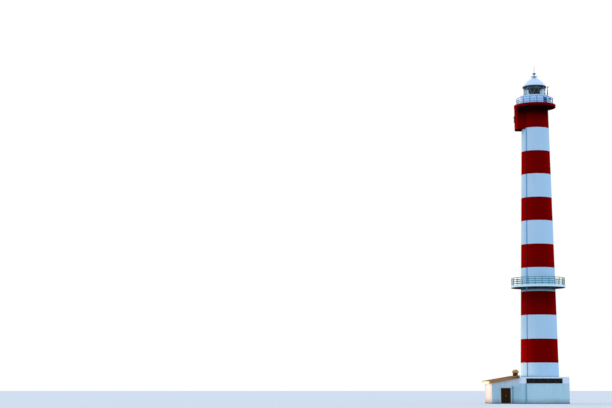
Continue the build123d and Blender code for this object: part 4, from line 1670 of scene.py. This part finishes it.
@dataclass
class Dresser:
    """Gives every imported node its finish.

    Attributes:
        split_lift: number of the lift that the middle gallery splits.
    """

    split_lift: int = 4

    def coat_of(self, node: str) -> Coat:
        """Choose a node's finish by its name.

        Args:
            node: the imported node's name.

        Returns:
            The finish.
        """
        if node.startswith("shaft_lift_") and node not in SHADES:
            number = int(node[-2:])
            band = number - 1 if number <= self.split_lift else number - 2
            return Coat.RED_SHAFT if band % 2 == 0 else Coat.WHITE_SHAFT
        return SHADES.get(node, Coat.WHITE_WALL)

    def dress(self, coats: Coats) -> None:
        """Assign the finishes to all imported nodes.

        Args:
            coats: the finished materials.
        """
        for name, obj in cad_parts.items():
            obj.data.materials.clear()
            obj.data.materials.append(coats[self.coat_of(name)])
        log.info("dressed %d packed nodes", len(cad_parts))


@dataclass
class Studio:
    """Plain pale floor, soft light and the camera at the photograph's place.

    Attributes:
        camera_at: the camera's place in the frame, metres.
        camera_pitch: degrees above level.
        lens: focal length, mm.
        sensor: width of the camera's sensor, mm.
        clip: nearest and farthest distance that is drawn, metres.
        horizon: strength of the even light at the horizon.
        zenith: its strength overhead.
        shade: colour of the cool light from overhead.
        glow: colour of the light from the wing's side.
        glow_from: direction towards that light.
        glow_power: its strength over the even light.
        open_from: direction towards the brighter light at the other side.
        open_power: its strength over the even light.
        edge: how nearly a ray points to one of these lights where it begins, full at 1.
        lamp_tone: colour of both lamps.
        sun: strength of the low lamp behind the wing's side.
        sun_from: direction towards that lamp.
        sun_angle: width that it seems to have, degrees.
        side_power: power of the soft lamp at the wing's end, watts.
        side_at: that lamp's place.
        side_to: the point it is aimed at.
        side_size: its width, metres.
        side_spread: angle of its beam, degrees, small enough to leave the floor alone.
        floor_tone: colour of the floor.
        floor_half: half of the floor's side, metres.
    """

    camera_at: tuple[float, float, float] = (-14.565, -94.05, 0.895)
    camera_pitch: float = 7.03
    lens: float = 88.235
    sensor: float = 36.0
    clip: tuple[float, float] = (0.5, 2000.0)
    horizon: float = 0.588
    zenith: float = 1.568
    shade: str = "c2dcff"
    glow: str = "fff0d8"
    glow_from: tuple[float, float, float] = (-0.8, 0.6, 0.05)
    glow_power: float = 0.6
    open_from: tuple[float, float, float] = (0.93, 0.36, 0.05)
    open_power: float = 0.55
    edge: float = 0.35
    lamp_tone: tuple[float, float, float] = (1.0, 0.82, 0.58)
    sun: float = 1.2
    sun_from: tuple[float, float, float] = (-0.38, 0.89, 0.24)
    sun_angle: float = 12.0
    side_power: float = 19.0
    side_at: tuple[float, float, float] = (-9.5, 0.9, 1.1)
    side_to: tuple[float, float, float] = (-3.0, 0.0, 1.7)
    side_size: float = 1.6
    side_spread: float = 40.0
    floor_tone: str = "d6d4d0"
    floor_half: float = 600.0

    def floor(self) -> None:
        """Lay the pale floor."""
        bpy.ops.object.select_all(action="DESELECT")
        bpy.ops.mesh.primitive_plane_add(size=2 * self.floor_half, location=(0, 0, 0))
        floor = bpy.context.object
        floor.name = "studio_floor"
        material = bpy.data.materials.new("studio_floor_pale")
        material.use_nodes = True
        shader = material.node_tree.nodes["Principled BSDF"]
        feed(shader, Base_Color=linear(self.floor_tone), Roughness=0.95, Specular_IOR_Level=0.1)
        floor.data.materials.append(material)

    @staticmethod
    def towards(web: Web, ray: bpy.types.NodeSocket, direction: Sequence[float]) -> bpy.types.NodeSocket:
        """Find how nearly a ray of light points in a direction.

        Args:
            web: the world's nodes.
            ray: the ray's direction.
            direction: the direction it is held against.

        Returns:
            A number up to 1.
        """
        node = add(web.tree, "ShaderNodeVectorMath", {"operation": "DOT_PRODUCT"}, i0=ray, i1=direction)
        return node.outputs["Value"]

    def all_round(self) -> None:
        """Light the scene from all round: cool overhead, warm at the wing's side, plain white when seen."""
        world = bpy.data.worlds.new("studio_sky")
        bpy.context.scene.world = world
        world.use_nodes = True
        tree = world.node_tree
        tree.nodes.clear()
        web = Web(tree)
        ray = add(tree, "ShaderNodeTexCoord").outputs["Generated"]
        rise = add(tree, "ShaderNodeSeparateXYZ", Vector=ray).outputs["Z"]
        warmth = web.span(self.towards(web, ray, self.glow_from), self.edge, 1.0)
        open_side = web.span(self.towards(web, ray, self.open_from), self.edge, 1.0)
        tone = web.mix(warmth, linear(self.shade), linear(self.glow))
        level = web.span(rise, 0.0, 1.0, self.horizon, self.zenith)
        level = web.math("ADD", level, web.times(warmth, self.glow_power))
        level = web.math("ADD", level, web.times(open_side, self.open_power))
        lit = add(tree, "ShaderNodeBackground", Color=tone, Strength=level).outputs["Background"]
        white = (1.0, 1.0, 1.0, 1.0)
        seen = add(tree, "ShaderNodeBackground", Color=white, Strength=1.0).outputs["Background"]
        path = add(tree, "ShaderNodeLightPath")
        through = web.math("MAXIMUM", path.outputs["Is Transmission Ray"], path.outputs["Is Glossy Ray"])
        direct = web.math("MAXIMUM", path.outputs["Is Camera Ray"], through)
        mix = add(tree, "ShaderNodeMixShader", Fac=direct, i1=lit, i2=seen)
        add(tree, "ShaderNodeOutputWorld", Surface=mix.outputs["Shader"])

    def lamp(self, kind: str, back: Vector, at: Sequence[float], power: float) -> bpy.types.Light:
        """Add a warm lamp that neither the camera nor a reflection sees.

        Args:
            kind: SUN or AREA.
            back: direction from the lit side towards the lamp.
            at: the lamp's place.
            power: its strength.

        Returns:
            The lamp's data.
        """
        bpy.ops.object.light_add(type=kind, location=at, rotation=back.to_track_quat("Z", "Y").to_euler())
        bpy.context.object.visible_camera = False
        bpy.context.object.visible_glossy = False
        light = bpy.context.object.data
        light.energy = power
        light.color = self.lamp_tone
        return light

    def lamps(self) -> None:
        """Set the low lamp behind the wing's side and the soft one at its end."""
        low = self.lamp("SUN", Vector(self.sun_from), (0, 0, 0), self.sun)
        low.angle = math.radians(self.sun_angle)
        back = Vector(self.side_at) - Vector(self.side_to)
        soft = self.lamp("AREA", back, self.side_at, self.side_power)
        soft.size = self.side_size
        soft.spread = math.radians(self.side_spread)

    def camera(self) -> None:
        """Place the camera as the photograph was taken."""
        tilt = (math.radians(90 + self.camera_pitch), 0, 0)
        bpy.ops.object.camera_add(location=self.camera_at, rotation=tilt)
        camera = bpy.context.object
        camera.data.lens = self.lens
        camera.data.sensor_width = self.sensor
        camera.data.clip_start, camera.data.clip_end = self.clip
        bpy.context.scene.camera = camera

    def build(self) -> None:
        """Set up the floor, the light, the camera and the plain colour handling."""
        self.floor()
        self.all_round()
        self.lamps()
        self.camera()
        bpy.context.scene.view_settings.view_transform = "Standard"
        log.info("studio ready")


def main() -> None:
    """Build the pieces, dress them and set the studio."""
    logging.basicConfig(level=logging.INFO, format="%(message)s")
    coats: Coats = {coat: coat.value.build() for coat in Coat}
    Dresser().dress(coats)
    Railing(
        coats, "mid_gallery_railing", posts=24, turn=0.0, rails=4,
        coat=Coat.GREEN_RAIL, post_coat=Coat.GREEN_POST, slot_name="green_rail",
    ).build()
    Railing(
        coats, "upper_gallery_railing", posts=16, turn=-1.5, rails=3,
        coat=Coat.BLUE_RAIL, post_coat=Coat.BLUE_POST, slot_name="pale_rail",
    ).build()
    Galleries(coats).build()
    Shaft(coats).build()
    Chamber(coats).build()
    Dome(coats).build()
    Rivets(coats).build()
    Drum(coats).build()
    LensFrame(coats).build()
    FootBuilding(coats).build()
    DoubleDoor(coats).build()
    Studio().build()


if __name__ == "__main__":
    main()
